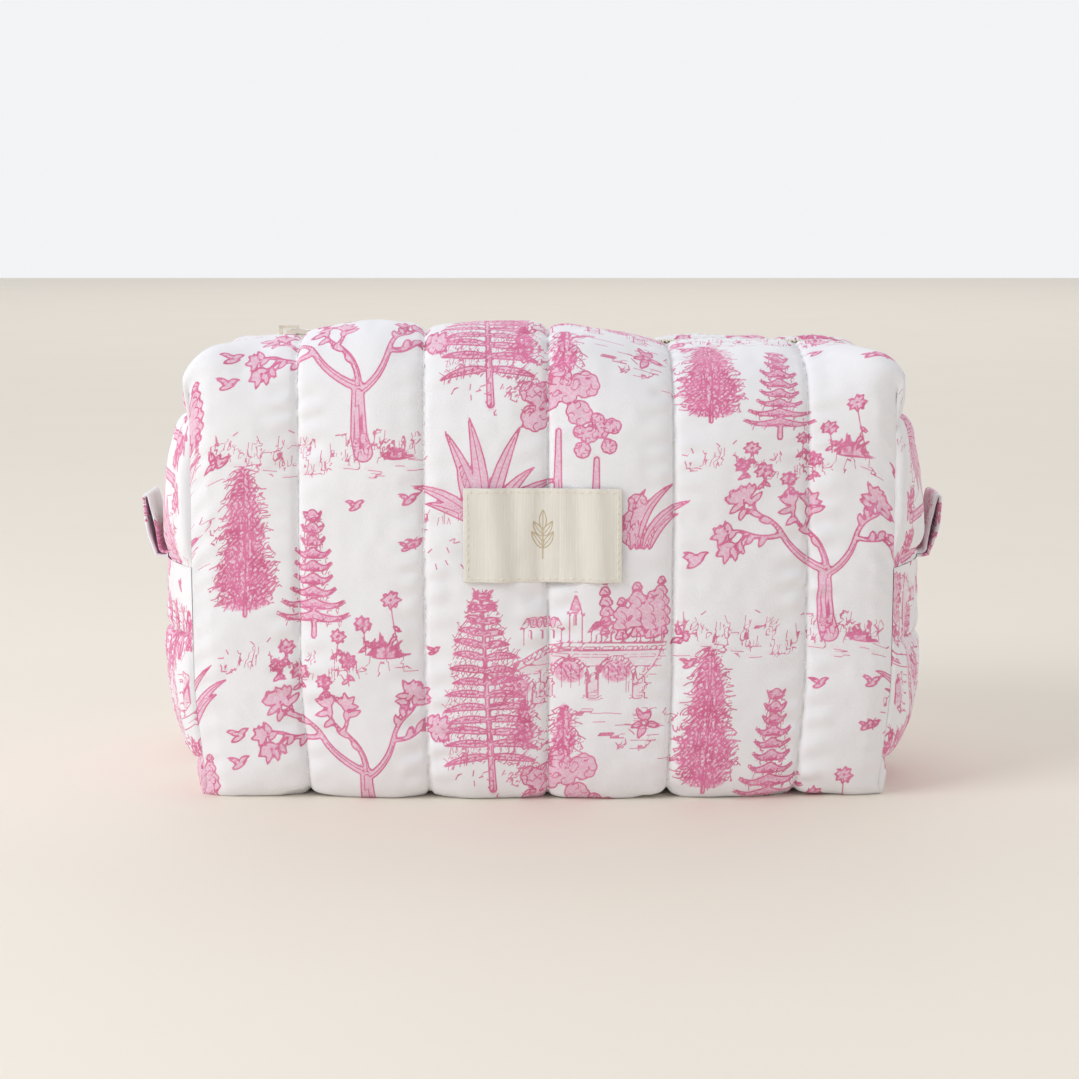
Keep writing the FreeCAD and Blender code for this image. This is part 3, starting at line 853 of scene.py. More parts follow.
def weave(n, flat, thread):
    """Plain weave height from two crossed waves over the flat cloth; thread is its pitch in mm."""
    split = n.add("SeparateXYZ")
    n.link(flat, split.inputs[0])
    turns = 2.0 * math.pi / thread
    warp = n.math("SINE", n.math("MULTIPLY", split.outputs[0], turns))
    weft = n.math("SINE", n.math("MULTIPLY", split.outputs[1], turns))
    return n.math("MULTIPLY", warp, weft), split


def printed_cotton():
    n = Nodes("printed_cotton")
    flat = n.attribute("flat", "Vector")
    threads, split = weave(n, flat, 0.9)
    side = n.math("ABSOLUTE", n.attribute("ink_side"))
    gap = n.attribute("ink_gap")
    tone = n.attribute("ink_tone")
    form = n.attribute("ink_form")
    edge = n.ramp(n.math("ABSOLUTE", form), 0.14, 0.34, 1.0, 0.0)
    body = n.ramp(form, -0.05, 0.12, 1.0, 0.0)
    line = n.math(
        "MULTIPLY", n.ramp(side, 0.6, 1.25, 1.0, 0.0), n.ramp(gap, 0.62, 0.85, 1.0, 0.0), clamp=True
    )
    wobble = n.noise(flat, 0.45, 2.0)
    slant = n.sum((split.outputs[0], 0.82), (split.outputs[1], 0.57))
    hatch = n.math("SINE", n.sum((slant, 4.6), (wobble, 9.0)))
    leafy = n.noise(flat, 1.0, 3.0, 0.65)
    texture = n.sum((hatch, 0.2), (leafy, 1.5))
    threshold = n.math("SUBTRACT", 1.62, n.math("MULTIPLY", tone, 0.82))
    past = n.math("SUBTRACT", texture, threshold)
    dabs = n.math("MULTIPLY", n.ramp(past, -0.05, 0.12), n.ramp(tone, 0.06, 0.3))
    patchy = n.noise(flat, 0.12, 2.0)
    dry = n.ramp(n.noise(flat, 2.4, 2.0), 0.2, 0.62, 0.66, 1.0)
    cotton = n.mix(n.noise(flat, 0.06, 3.0), colour(249, 248, 251), colour(244, 243, 247))
    deep_ink = n.mix(n.ramp(patchy, 0.35, 0.68), colour(228, 112, 162), colour(212, 80, 134))
    wash_ink = colour(240, 166, 200)
    wash = n.math("MULTIPLY", n.ramp(tone, 0.05, 0.7), n.ramp(leafy, 0.30, 0.52), clamp=True)
    filled = n.math("MULTIPLY", body, n.ramp(leafy, 0.25, 0.75, 0.35, 0.85))
    washed = n.mix(n.math("MAXIMUM", n.math("MULTIPLY", wash, 0.85), filled), cotton, wash_ink)
    drawn = n.math("MAXIMUM", n.math("MULTIPLY", line, 0.9), n.math("MULTIPLY", edge, 0.92))
    strokes = n.math("MAXIMUM", drawn, n.math("MULTIPLY", dabs, 0.75), clamp=True)
    n.set(color=n.mix(n.math("MULTIPLY", strokes, dry), washed, deep_ink))
    slub = n.noise(flat, 1.6, 3.0)
    n.set(rough=n.ramp(slub, 0.2, 0.8, 0.82, 0.92))
    n.set(sheen=0.15, sheen_rough=0.5, specular=0.25)
    n.bump(n.sum((threads, 0.35), (slub, 0.9)), 0.6, 0.00014)
    return n.material


def plain_cloth(name, light, dark, thread=0.8, rough=0.88, sheen=0.2, depth=0.00015):
    n = Nodes(name)
    flat = n.attribute("flat", "Vector")
    threads, _ = weave(n, flat, thread)
    slub = n.noise(flat, 1.3, 3.0)
    n.set(color=n.mix(n.ramp(slub, 0.25, 0.75), light, dark))
    n.set(rough=n.ramp(slub, 0.2, 0.8, rough - 0.05, rough + 0.05))
    n.set(sheen=sheen, sheen_rough=0.5, specular=0.3)
    n.bump(n.sum((threads, 0.6), (slub, 0.7)), 0.6, depth)
    return n.material


def solid_cloth(name, light, dark, scale=900.0, rough=0.88):
    """Cloth or thread for pieces with no flat coordinates."""
    n = Nodes(name)
    place = n.place()
    grain = n.noise(place, scale, 3.0)
    n.set(color=n.mix(n.ramp(grain, 0.25, 0.75), light, dark))
    n.set(rough=n.ramp(grain, 0.2, 0.8, rough - 0.06, rough + 0.06))
    n.set(sheen=0.15, specular=0.3)
    n.bump(grain, 0.5, 0.0001)
    return n.material


def enamel(name, light, dark):
    n = Nodes(name)
    place = n.place()
    grain = n.noise(place, 700.0, 3.0)
    wear = n.ramp(n.noise(place, 260.0, 4.0), 0.62, 0.75)
    n.set(color=n.mix(wear, light, dark))
    n.set(rough=n.ramp(grain, 0.2, 0.8, 0.28, 0.42))
    n.set(metal=0.0, specular=0.55, coat=0.25)
    n.bump(grain, 0.12, 0.00005)
    return n.material


COTTON = printed_cotton()
LINING = plain_cloth("lining_cotton", colour(243, 240, 238), colour(232, 228, 226), 0.9)
TAPE = plain_cloth(
    "zip_tape_weave", colour(236, 230, 214), colour(222, 214, 195), 0.7, 0.8, 0.25, 0.0002
)
COIL = solid_cloth("zip_coil_nylon", colour(238, 232, 217), colour(224, 216, 198), 1200.0, 0.5)
THREAD = solid_cloth("white_thread", colour(250, 249, 248), colour(236, 233, 232), 2600.0, 0.7)
LABEL_THREAD = solid_cloth("label_thread", colour(248, 243, 230), colour(232, 224, 206), 2600.0, 0.6)
BINDING = solid_cloth("binding_tape", colour(244, 241, 236), colour(228, 224, 217), 1500.0, 0.9)
METAL = enamel("zip_enamel", colour(236, 229, 213), colour(206, 196, 178))


# ---- meshes -------------------------------------------------------------------------------------

def mesh_piece(name, points, faces, material, layers=None, smooth_shade=True):
    """Mesh object from millimetre points, with per-vertex layers for its material."""
    mesh = bpy.data.meshes.new(name)
    points = np.asarray(points, float).reshape(-1, 3) * MM
    faces = np.asarray(faces, np.int32).reshape(-1, 4)
    mesh.vertices.add(len(points))
    mesh.vertices.foreach_set("co", points.astype(np.float32).ravel())
    mesh.loops.add(faces.size)
    mesh.loops.foreach_set("vertex_index", faces.ravel())
    mesh.polygons.add(len(faces))
    mesh.polygons.foreach_set("loop_start", np.arange(0, faces.size, 4, dtype=np.int32))
    mesh.polygons.foreach_set("use_smooth", np.full(len(faces), smooth_shade))
    mesh.update(calc_edges=True)
    for layer_name, values in (layers or {}).items():
        values = np.asarray(values, np.float32)
        kind = "FLOAT_VECTOR" if values.ndim == 2 and values.shape[1] == 3 else "FLOAT"
        attribute = mesh.attributes.new(layer_name, kind, "POINT")
        attribute.data.foreach_set("vector" if kind == "FLOAT_VECTOR" else "value", values.ravel())
    mesh.materials.append(material)
    item = bpy.data.objects.new(name, mesh)
    bpy.context.scene.collection.objects.link(item)
    return item


def grid_quads(index, flip=False):
    quads = np.stack([index[:-1, :-1], index[:-1, 1:], index[1:, 1:], index[1:, :-1]], axis=-1)
    if flip:
        quads = quads[..., ::-1]
    return quads.reshape(-1, 4)


def closed_skin(rows, columns, flip=False, turn_rim=False):
    """Faces of two grids of places, one after the other, joined round their rim."""
    count = rows * columns
    index = np.arange(count).reshape(rows, columns)
    rim = np.concatenate([index[0, :], index[1:, -1], index[-1, -2::-1], index[-2:0:-1, 0]])
    following = np.roll(rim, -1)
    walls = np.stack([rim, rim + count, following + count, following], axis=1)
    if turn_rim:
        walls = walls[:, [0, 3, 2, 1]]
    return np.concatenate([grid_quads(index, flip), grid_quads(index, not flip) + count, walls])


def thread_quads(count, stations=6):
    """Faces of several six-sided threads, closed at both ends."""
    one = []
    for low in range(0, (stations - 1) * 6, 6):
        for k in range(6):
            after = (k + 1) % 6
            one.append((low + k, low + after, low + 6 + after, low + 6 + k))
    last = (stations - 1) * 6
    one += [(0, 5, 4, 3), (0, 3, 2, 1)]
    one += [(last, last + 1, last + 2, last + 3), (last, last + 3, last + 4, last + 5)]
    one = np.array(one)
    return (one[None] + (np.arange(count) * stations * 6)[:, None, None]).reshape(-1, 4)


def follow_flap(item):
    """Bakes the piece's object transform into its mesh."""
    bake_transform(item)


def mirror_side(points, side):
    """The back half is the front half turned half a turn about Z."""
    if side == "front":
        return points
    return points * np.array([-1.0, -1.0, 1.0])


OUTER_PITCH = 0.85
LINING_PITCH = 1.9


def unit(vectors):
    return vectors / np.maximum(np.linalg.norm(vectors, axis=-1, keepdims=True), 1e-9)


def hermite(start, end, start_pull, end_pull, w):
    """Cubic curve for each row of start and end points, at the shares w."""
    w = w[None, :, None]
    start, end = start[:, None, :], end[:, None, :]
    start_pull, end_pull = start_pull[:, None, :], end_pull[:, None, :]
    return (
        (2 * w ** 3 - 3 * w ** 2 + 1) * start
        + (w ** 3 - 2 * w ** 2 + w) * start_pull
        + (3 * w ** 2 - 2 * w ** 3) * end
        + (w ** 3 - w ** 2) * end_pull
    )


def end_patch(edge, side_edge, out_start):
    """End face from an edge of the tube to the end seam, as rows along the edge and columns across.

    edge runs from the corner seam (first) to the zip or bottom seam (last); side_edge runs along the
    corner seam from the same corner to the end seam."""
    w = np.linspace(0.0, 1.0, len(side_edge))
    corner = side_edge[-1]
    share = 1.0 - np.clip(np.abs(edge[:, 1]) / abs(corner[1]), 0.0, 1.0)
    swell = 1.0 - (1.0 - share) ** 2.3
    depth = edge[:, 1] * abs(corner[1]) / np.abs(edge[0, 1])
    seam = np.full(len(edge), END_SEAM)
    finish_line = np.stack([corner[0] + END_BULGE * swell, depth, seam], axis=1)
    drop = END_SEAM - edge[:, 2]
    lean = out_start * swell
    start_pull = np.stack([lean * np.abs(drop), 0 * drop, drop * (1.0 - 0.45 * swell)], axis=1) * 1.05
    end_pull = np.stack([0 * drop, 0 * drop, drop], axis=1)
    sheet = hermite(edge, finish_line, start_pull, end_pull, w)
    miss = side_edge - sheet[0]
    fade = (1.0 - smooth(share / 0.55))[:, None, None]
    return sheet + miss[None] * fade


def patch_heights(flat_u, flat_v, edges, seed):
    return channel_puff(flat_u, flat_v, edges) + cloth_relief(flat_u, flat_v + seed)


def bag_half(side, pitch, inset):
    """One half of the bag as welded grids: points, quads, flat places and the grid of the tube."""
    seed = 0.0 if side == "front" else 400.0
    columns = int(round(2.0 * CORNER_HALF_WIDTH / pitch)) + 1
    rows = int(round(FLAT_HEIGHT / pitch)) + 1
    u = np.linspace(-CORNER_HALF_WIDTH, CORNER_HALF_WIDTH, columns)
    v = np.linspace(0.0, FLAT_HEIGHT, rows)
    places = tube(np.broadcast_to(u, (rows, columns)), t_of_v(v), side)
    flat_u, flat_v = np.meshgrid(u, v)
    low_row = int(np.argmax(v >= SEAM_LOW_V))
    high_row = int(np.argmax(v >= SEAM_HIGH_V))
    seam_row = int(np.argmax(places[:, -1, 2] >= END_SEAM))

    normal = grid_normals(places)
    face = smooth((flat_v - SEAM_LOW_V + 3.0) / 8.0) * smooth((SEAM_HIGH_V + 3.0 - flat_v) / 8.0)
    height = patch_heights(flat_u, flat_v, CHANNEL_EDGES, seed) * face
    height = height + patch_heights(flat_u, flat_v, WRAP_EDGES, seed) * (1.0 - face)
    from_corner = np.clip((CORNER_HALF_WIDTH - np.abs(flat_u)) / 6.5, 0.0, 1.0)
    on_seam = smooth((flat_v - SEAM_LOW_V + 5.0) / 6.0) * smooth((SEAM_HIGH_V + 5.0 - flat_v) / 6.0)
    height = height * (1.0 - on_seam * (1.0 - np.sqrt(from_corner)))
    grids = [(places, normal, height, flat_u, flat_v)]

    ends = []
    for column, sign in ((columns - 1, 1.0), (0, -1.0)):
        for part in ("upper", "lower"):
            if part == "upper":
                picked = np.arange(high_row, rows)
                walk = np.arange(high_row, seam_row - 1, -1)
                length, lean = 55.0, END_PULL
            else:
                picked = np.arange(low_row, -1, -1)
                walk = np.arange(low_row, seam_row + 1)
                length, lean = 78.0, 0.62
            edge = places[picked, column].copy()
            side_edge = places[walk, column].copy()
            edge[:, 0] *= sign
            side_edge[:, 0] *= sign
            side_edge[-1, 2] = END_SEAM
            count = max(12, int(round(54.0 / pitch)))
            w = np.linspace(0.0, 1.0, count)
            old = np.linspace(0.0, 1.0, len(side_edge))
            side_edge = np.stack([np.interp(w, old, side_edge[:, k]) for k in range(3)], axis=1)
            points = end_patch(edge, side_edge, lean)
            points[..., 0] *= sign
            patch_u = sign * (CORNER_HALF_WIDTH + length * w)[None, :] + 0.0 * edge[:, :1]
            patch_v = v[picked][:, None] + 0.0 * w[None, :]
            patch_normal = grid_normals(points)
            if np.mean(patch_normal[..., 0]) * sign < 0:
                patch_normal = -patch_normal
            patch_height = patch_heights(patch_u, patch_v, WRAP_EDGES, seed)
            from_side = np.clip(np.abs(patch_v - v[picked[0]]) / 6.5, 0.0, 1.0)
            from_seam = np.clip((1.0 - w)[None, :] * length / 5.0, 0.0, 1.0)
            patch_height = patch_height * np.sqrt(from_side) * (0.1 + 0.9 * np.sqrt(from_seam))
            joint_normal = unit(normal[picked, column] + patch_normal[:, 0])
            near = (1.0 - smooth(np.abs(patch_u - sign * CORNER_HALF_WIDTH) / 9.0))[..., None]
            patch_normal = unit(patch_normal * (1 - near) + joint_normal[:, None, :] * near)
            tube_near = (1.0 - smooth((CORNER_HALF_WIDTH - sign * flat_u) / 9.0))[picked][..., None]
            blended = normal[picked] * (1 - tube_near) + joint_normal[:, None, :] * tube_near
            normal[picked] = unit(blended)
            shaped = (points, patch_normal, patch_height, patch_u, patch_v)
            ends.append((part, sign, column, picked, *shaped))

    def finish_grid(points, normals, heights, grid_v):
        standing = smooth((grid_v - 30.0) / 22.0)
        hem = np.clip((FLAT_HEIGHT - grid_v) / 9.0, 0.0, 1.0)
        heights = heights * (0.2 + 0.8 * standing) * (0.3 + 0.7 * np.sqrt(hem))
        if inset == 0.0:
            turned = 1.3 * np.clip(1.0 - (FLAT_HEIGHT - grid_v) / 1.7, 0.0, 1.0) ** 2
            moved = points + normals * (heights - turned)[..., None]
        else:
            depth = inset - 2.4 * np.clip(1.0 - (FLAT_HEIGHT - grid_v) / 8.0, 0.0, 1.0)
            moved = points + normals * (0.5 * heights - depth)[..., None]
        moved[..., 2] = np.maximum(moved[..., 2], 0.02 + inset)
        return moved

    tube_points = finish_grid(places, normal, height, flat_v)
    tube_index = np.arange(rows * columns).reshape(rows, columns)
    all_points = [tube_points.reshape(-1, 3)]
    all_flat = [np.stack([flat_u.ravel(), flat_v.ravel()], axis=1)]
    quads = [grid_quads(tube_index)]
    sheets = [(flat_u, flat_v)]
    count = rows * columns
    for part, sign, column, picked, points, normals, heights, patch_u, patch_v in ends:
        moved = finish_grid(points, normals, heights, np.where(patch_v < 60.0, 80.0, patch_v))
        if part == "lower":
            lifted = smooth((patch_u * sign - CORNER_HALF_WIDTH) / 14.0)[..., None]
            settled = tube_points[picked, column][:, None, :] - points[:, :1]
            moved = moved + (settled - (moved[:, :1] - points[:, :1])) * (1.0 - lifted)
        else:
            settled = tube_points[picked, column][:, None, :] - moved[:, :1]
            lifted = smooth((patch_u * sign - CORNER_HALF_WIDTH) / 6.0)[..., None]
            moved = moved + settled * (1.0 - lifted)
        fresh = moved[:, 1:]
        index = np.empty(patch_u.shape, int)
        index[:, 0] = tube_index[picked, column]
        index[:, 1:] = count + np.arange(fresh.shape[0] * fresh.shape[1]).reshape(fresh.shape[:2])
        count += fresh.shape[0] * fresh.shape[1]
        all_points.append(fresh.reshape(-1, 3))
        all_flat.append(np.stack([patch_u[:, 1:].ravel(), patch_v[:, 1:].ravel()], axis=1))
        turn = (part == "lower") == (sign > 0)
        quads.append(grid_quads(index, turn))
        sheets.append((patch_u[:, 1:], patch_v[:, 1:]))
    points = np.concatenate(all_points)
    return {
        "points": mirror_side(points, side),
        "plain": points,
        "flat": np.concatenate(all_flat),
        "quads": np.concatenate(quads),
        "sheets": sheets,
        "grid": tube_points,
        "u": u,
        "v": v,
    }


INK = ("side", "gap", "tone", "form")


def ink_layers(sheets):
    """Ink on a set of grids, each regular in its own u and v."""
    found = {name: [] for name in INK}
    for flat_u, flat_v in sheets:
        order_u = 1 if flat_u[0, -1] >= flat_u[0, 0] else -1
        order_v = 1 if flat_v[-1, 0] >= flat_v[0, 0] else -1
        sheet = Sheet(flat_u[::order_v, ::order_u], flat_v[::order_v, ::order_u])
        draw_print(sheet)
        for name in INK:
            found[name].append(getattr(sheet, name)[::order_v, ::order_u].ravel())
    layers = {"ink_" + name: np.concatenate(found[name]) for name in INK}
    layers["ink_side"] = np.clip(layers["ink_side"], -9, 9)
    return layers


def double_layers(sheet, names):
    """Flat places and ink for a piece with two skins over one sheet."""
    double = lambda values: np.concatenate([values.ravel(), values.ravel()])
    layers = {"ink_" + name: double(getattr(sheet, name)) for name in names}
    layers["ink_side"] = np.clip(layers["ink_side"], -9, 9)
    layers["flat"] = flat_layer(np.stack([double(sheet.u), double(sheet.v)], axis=1))
    return layers


def flat_layer(flat):
    return np.concatenate([flat, np.zeros((len(flat), 1))], axis=1)


HALVES = {}
for side in ("front", "back"):
    half = bag_half(side, OUTER_PITCH, 0.0)
    HALVES[side] = half
    layers = ink_layers(half["sheets"])
    layers["flat"] = flat_layer(half["flat"])
    piece = mesh_piece(side + "_quilted_cotton", half["points"], half["quads"], COTTON, layers)
    follow_flap(piece)
    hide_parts(side + "_outer", side + "_outer_panel", side + "_wadding", side + "_wadding_panel")

    inner = bag_half(side, LINING_PITCH, WALL)
    layers = {"flat": flat_layer(inner["flat"])}
    inside_out = inner["quads"][:, ::-1]
    piece = mesh_piece(side + "_lining_cotton", inner["points"], inside_out, LINING, layers)
    follow_flap(piece)
    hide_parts(side + "_lining", side + "_lining_panel")


# ---- zip ----------------------------------------------------------------------------------------

def zip_path():
    """Centre line of the zip in x and z, from the left end seam over the top to the right one."""
    x = np.linspace(0.0, CORNER_HALF_WIDTH, 400)
    top = np.stack([x, zip_height(x) + 0.0 * x], axis=1)
    start = np.array([[CORNER_HALF_WIDTH, 0.0, float(zip_height(CORNER_HALF_WIDTH))]])
    finish_place = np.array([[CORNER_HALF_WIDTH + END_BULGE, 0.0, END_SEAM]])
    drop = END_SEAM - start[0, 2]
    start_pull = np.array([[END_PULL * abs(drop), 0.0, drop * 0.55]]) * 1.05
    end_pull = np.array([[0.0, 0.0, drop]])
    down = hermite(start, finish_place, start_pull, end_pull, np.linspace(0.0, 1.0, 200))[0]
    right = np.concatenate([top, down[1:, [0, 2]]])
    left = right[:0:-1] * np.array([-1.0, 1.0])
    return np.concatenate([left, right])


ZIP_LINE = zip_path()
ZIP_RUN = np.concatenate(([0.0], np.cumsum(np.linalg.norm(np.diff(ZIP_LINE, axis=0), axis=1))))
ZIP_RUN -= ZIP_RUN[-1] / 2.0
ZIP_HALF = float(ZIP_RUN[-1])


def on_zip(run, across, lift):
    """Place beside the zip's centre line: run along it, across towards -Y, lift outwards."""
    run, across, lift = np.broadcast_arrays(np.asarray(run, float), across, lift)
    x = np.interp(run, ZIP_RUN, ZIP_LINE[:, 0])
    z = np.interp(run, ZIP_RUN, ZIP_LINE[:, 1])
    ahead_x, ahead_z = (
        np.interp(run + 0.6, ZIP_RUN, line) - np.interp(run - 0.6, ZIP_RUN, line) for line in ZIP_LINE.T
    )
    size = np.maximum(np.hypot(ahead_x, ahead_z), 1e-9)
    return np.stack([x - lift * ahead_z / size, -across, z + lift * ahead_x / size], axis=-1)


TAPE_INNER = 0.5
TAPE_OUTER = 14.6
TAPE_DROP = -1.15
TEETH_PITCH = 1.35


def build_tape(side):
    runs = np.linspace(-ZIP_HALF + 0.3, ZIP_HALF - 0.3, int(2 * ZIP_HALF / 0.9))
    across = np.linspace(TAPE_INNER, TAPE_OUTER, 22)
    flat_run, flat_across = np.meshgrid(runs, across)
    ripple = 0.16 * soft_noise(flat_run, flat_across * 2.0 + (0 if side == "front" else 60), 12.0, 4)
    under = -1.3 * smooth((flat_across - 7.0) / 5.0)
    cord_edge = 0.35 * np.exp(-((flat_across - 1.4) / 1.0) ** 2)
    top = on_zip(flat_run, flat_across, TAPE_DROP + ripple + under + cord_edge)
    bottom = on_zip(flat_run, flat_across, TAPE_DROP + ripple + under - 0.5)
    rows, columns = flat_run.shape
    points = np.concatenate([top.reshape(-1, 3), bottom.reshape(-1, 3)])
    quads = closed_skin(rows, columns, True)
    flat = np.stack([flat_run.ravel(), flat_across.ravel()], axis=1)
    layers = {"flat": flat_layer(np.concatenate([flat, flat]))}
    piece = mesh_piece(side + "_zip_tape_cloth", mirror_side(points, side), quads, TAPE, layers)
    follow_flap(piece)
    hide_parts(side + "_zip_tape", side + "_zip_tape_left_end", side + "_zip_tape_right_end")


def build_teeth(side):
    """Nylon coil: a row of flattened loops whose heads reach between those of the other side."""
    shift = 0.0 if side == "front" else 0.5 * TEETH_PITCH
    runs = np.arange(-ZIP_HALF + 1.2, ZIP_HALF - 1.2, TEETH_PITCH) + shift
    around = np.linspace(0.0, 2.0 * math.pi, 7)[:-1]
    stations = np.array([0.0, 0.12, 0.4, 0.75, 0.95, 1.0])
    widths = np.array([0.28, 0.42, 0.40, 0.50, 0.58, 0.30])
    heights = np.array([0.25, 0.45, 0.52, 0.60, 0.56, 0.30])
    s, a = np.meshgrid(stations, around, indexing="ij")
    w = np.repeat(widths[:, None], 6, axis=1)
    h = np.repeat(heights[:, None], 6, axis=1)
    along = w * np.cos(a)
    lift = h * np.sin(a) - 0.15
    reach = 3.1 - 3.0 * s
    lean = 0.25 * (s - 0.5)
    run = runs[:, None, None] + (along + lean)[None]
    points = on_zip(run, np.broadcast_to(reach, run.shape), np.broadcast_to(lift, run.shape))
    plain = points.reshape(-1, 3)
    quads = thread_quads(len(runs))
    piece = mesh_piece(side + "_zip_coil_teeth", mirror_side(plain, side), quads, COIL)
    follow_flap(piece)
    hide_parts(side + "_zip_coil", side + "_zip_coil_left_end", side + "_zip_coil_right_end")


for side in ("front", "back"):
    build_tape(side)
    build_teeth(side)


# ---- stitches -----------------------------------------------------------------------------------

def sample_grid(half, u, v):
    """Places on the front form of a half, at flat u and v."""
    grid = half["grid"]
    rows, columns = grid.shape[:2]
    a = np.interp(u, half["u"], np.arange(columns))
    b = np.interp(v, half["v"], np.arange(rows))
    a0 = np.clip(np.floor(a).astype(int), 0, columns - 2)
    b0 = np.clip(np.floor(b).astype(int), 0, rows - 2)
    fa, fb = (a - a0)[..., None], (b - b0)[..., None]
    return (
        grid[b0, a0] * (1 - fa) * (1 - fb)
        + grid[b0, a0 + 1] * fa * (1 - fb)
        + grid[b0 + 1, a0] * (1 - fa) * fb
        + grid[b0 + 1, a0 + 1] * fa * fb
    )


def stitch_row(half, u, v, thick, lift):
    """Threads lying on the cloth; u and v hold the start and end of every stitch."""
    share = np.linspace(0.0, 1.0, 6)
    place_u = u[:, :1] + (u[:, 1:] - u[:, :1]) * share
    place_v = v[:, :1] + (v[:, 1:] - v[:, :1]) * share
    centre = sample_grid(half, place_u, place_v)
    step_u = sample_grid(half, place_u + 0.5, place_v) - sample_grid(half, place_u - 0.5, place_v)
    step_v = sample_grid(half, place_u, place_v + 0.5) - sample_grid(half, place_u, place_v - 0.5)
    normal = unit(np.cross(step_u, step_v))
    forward = unit(np.gradient(centre, axis=1))
    sideways = unit(np.cross(forward, normal))
    arch = np.sin(share * math.pi)[None, :, None]
    centre = centre + normal * (lift * arch - 0.15)
    around = np.linspace(0.0, 2.0 * math.pi, 7)[:-1]
    ring = thick * (0.45 + 0.55 * arch[..., None])
    points = (
        centre[:, :, None, :]
        + ring * np.cos(around)[None, None, :, None] * sideways[:, :, None, :]
        + ring * 0.8 * np.sin(around)[None, None, :, None] * normal[:, :, None, :]
    )
    return points.reshape(-1, 3)


def build_stitches(side):
    half = HALVES[side]
    starts_u, starts_v = [], []
    random = np.random.default_rng(40 if side == "front" else 41)
    for seam in SEAMS:
        v = np.arange(36.0, FLAT_HEIGHT - 6.0, 3.1)
        v = v + random.uniform(-0.15, 0.15, len(v))
        u = seam + random.uniform(-0.12, 0.12, len(v))
        starts_u.append(np.stack([u, u + random.uniform(-0.1, 0.1, len(v))], axis=1))
        starts_v.append(np.stack([v, v + 2.1], axis=1))
    top = np.arange(-CORNER_HALF_WIDTH + 1.0, CORNER_HALF_WIDTH - 3.0, 3.0)
    line = FLAT_HEIGHT - 3.2 + random.uniform(-0.08, 0.08, len(top))
    starts_u.append(np.stack([top, top + 2.2], axis=1))
    starts_v.append(np.stack([line, line], axis=1))
    u, v = np.concatenate(starts_u), np.concatenate(starts_v)
    points = stitch_row(half, u, v, 0.3, 0.32)
    piece = mesh_piece(side + "_stitching", mirror_side(points, side), thread_quads(len(u)), THREAD)
    follow_flap(piece)


for side in ("front", "back"):
    build_stitches(side)


# ---- label --------------------------------------------------------------------------------------

label_low, label_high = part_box("label")
LABEL_WIDTH = (label_high[0] - label_low[0]) / MM
LABEL_HEIGHT = (label_high[2] - label_low[2]) / MM
LABEL_MIDDLE = 0.5 * (label_high[2] + label_low[2]) / MM


def label_satin():
    n = Nodes("label_satin")
    flat = n.attribute("flat", "Vector")
    split = n.add("SeparateXYZ")
    n.link(flat, split.inputs[0])
    long_threads = n.math("SINE", n.math("MULTIPLY", split.outputs[0], 2.0 * math.pi / 0.45))
    streak_place = n.add("Mapping")
    streak_place.inputs["Scale"].default_value = (1.0, 0.06, 1.0)
    n.link(flat, streak_place.inputs["Vector"])
    streaks = n.noise(streak_place.outputs["Vector"], 1.6, 3.0)
    motif_side = n.math("ABSOLUTE", n.attribute("ink_side"))
    motif_gap = n.attribute("ink_gap")
    motif_edge = n.ramp(n.math("ABSOLUTE", n.attribute("ink_form")), 0.12, 0.26, 1.0, 0.0)
    near_line = n.ramp(motif_gap, 0.5, 0.7, 1.0, 0.0)
    motif_line = n.math("MULTIPLY", n.ramp(motif_side, 0.7, 1.3, 1.0, 0.0), near_line)
    motif = n.math("MAXIMUM", motif_line, motif_edge, clamp=True)
    satin = n.mix(n.ramp(streaks, 0.2, 0.8), colour(240, 236, 227), colour(234, 229, 218))
    n.set(color=n.mix(n.math("MULTIPLY", motif, 0.75), satin, colour(186, 165, 122)))
    n.set(rough=n.ramp(streaks, 0.2, 0.8, 0.30, 0.38))
    n.set(sheen=0.05, specular=0.6)
    n.bump(n.sum((long_threads, 0.5), (streaks, 0.8)), 0.35, 0.0001)
    return n.material


def label_motif(sheet):
    """A plain five-leaf sprig."""
    pen = Pen(3)
    pen.line([(0.0, -7.0), (0.0, 4.0)], MEDIUM)
    blade(pen, (0.0, 2.6), math.pi / 2, 5.4, 1.2, 0.0, 0.0)
    for level, reach in ((-3.6, 6.2), (0.2, 5.4)):
        blade(pen, (0.0, level), math.pi / 2 - 0.8, reach, 1.15, 0.35, 0.0)
        blade(pen, (0.0, level), math.pi / 2 + 0.8, reach, 1.15, -0.35, 0.0)
    pen.put(sheet, 0.0, 0.0)


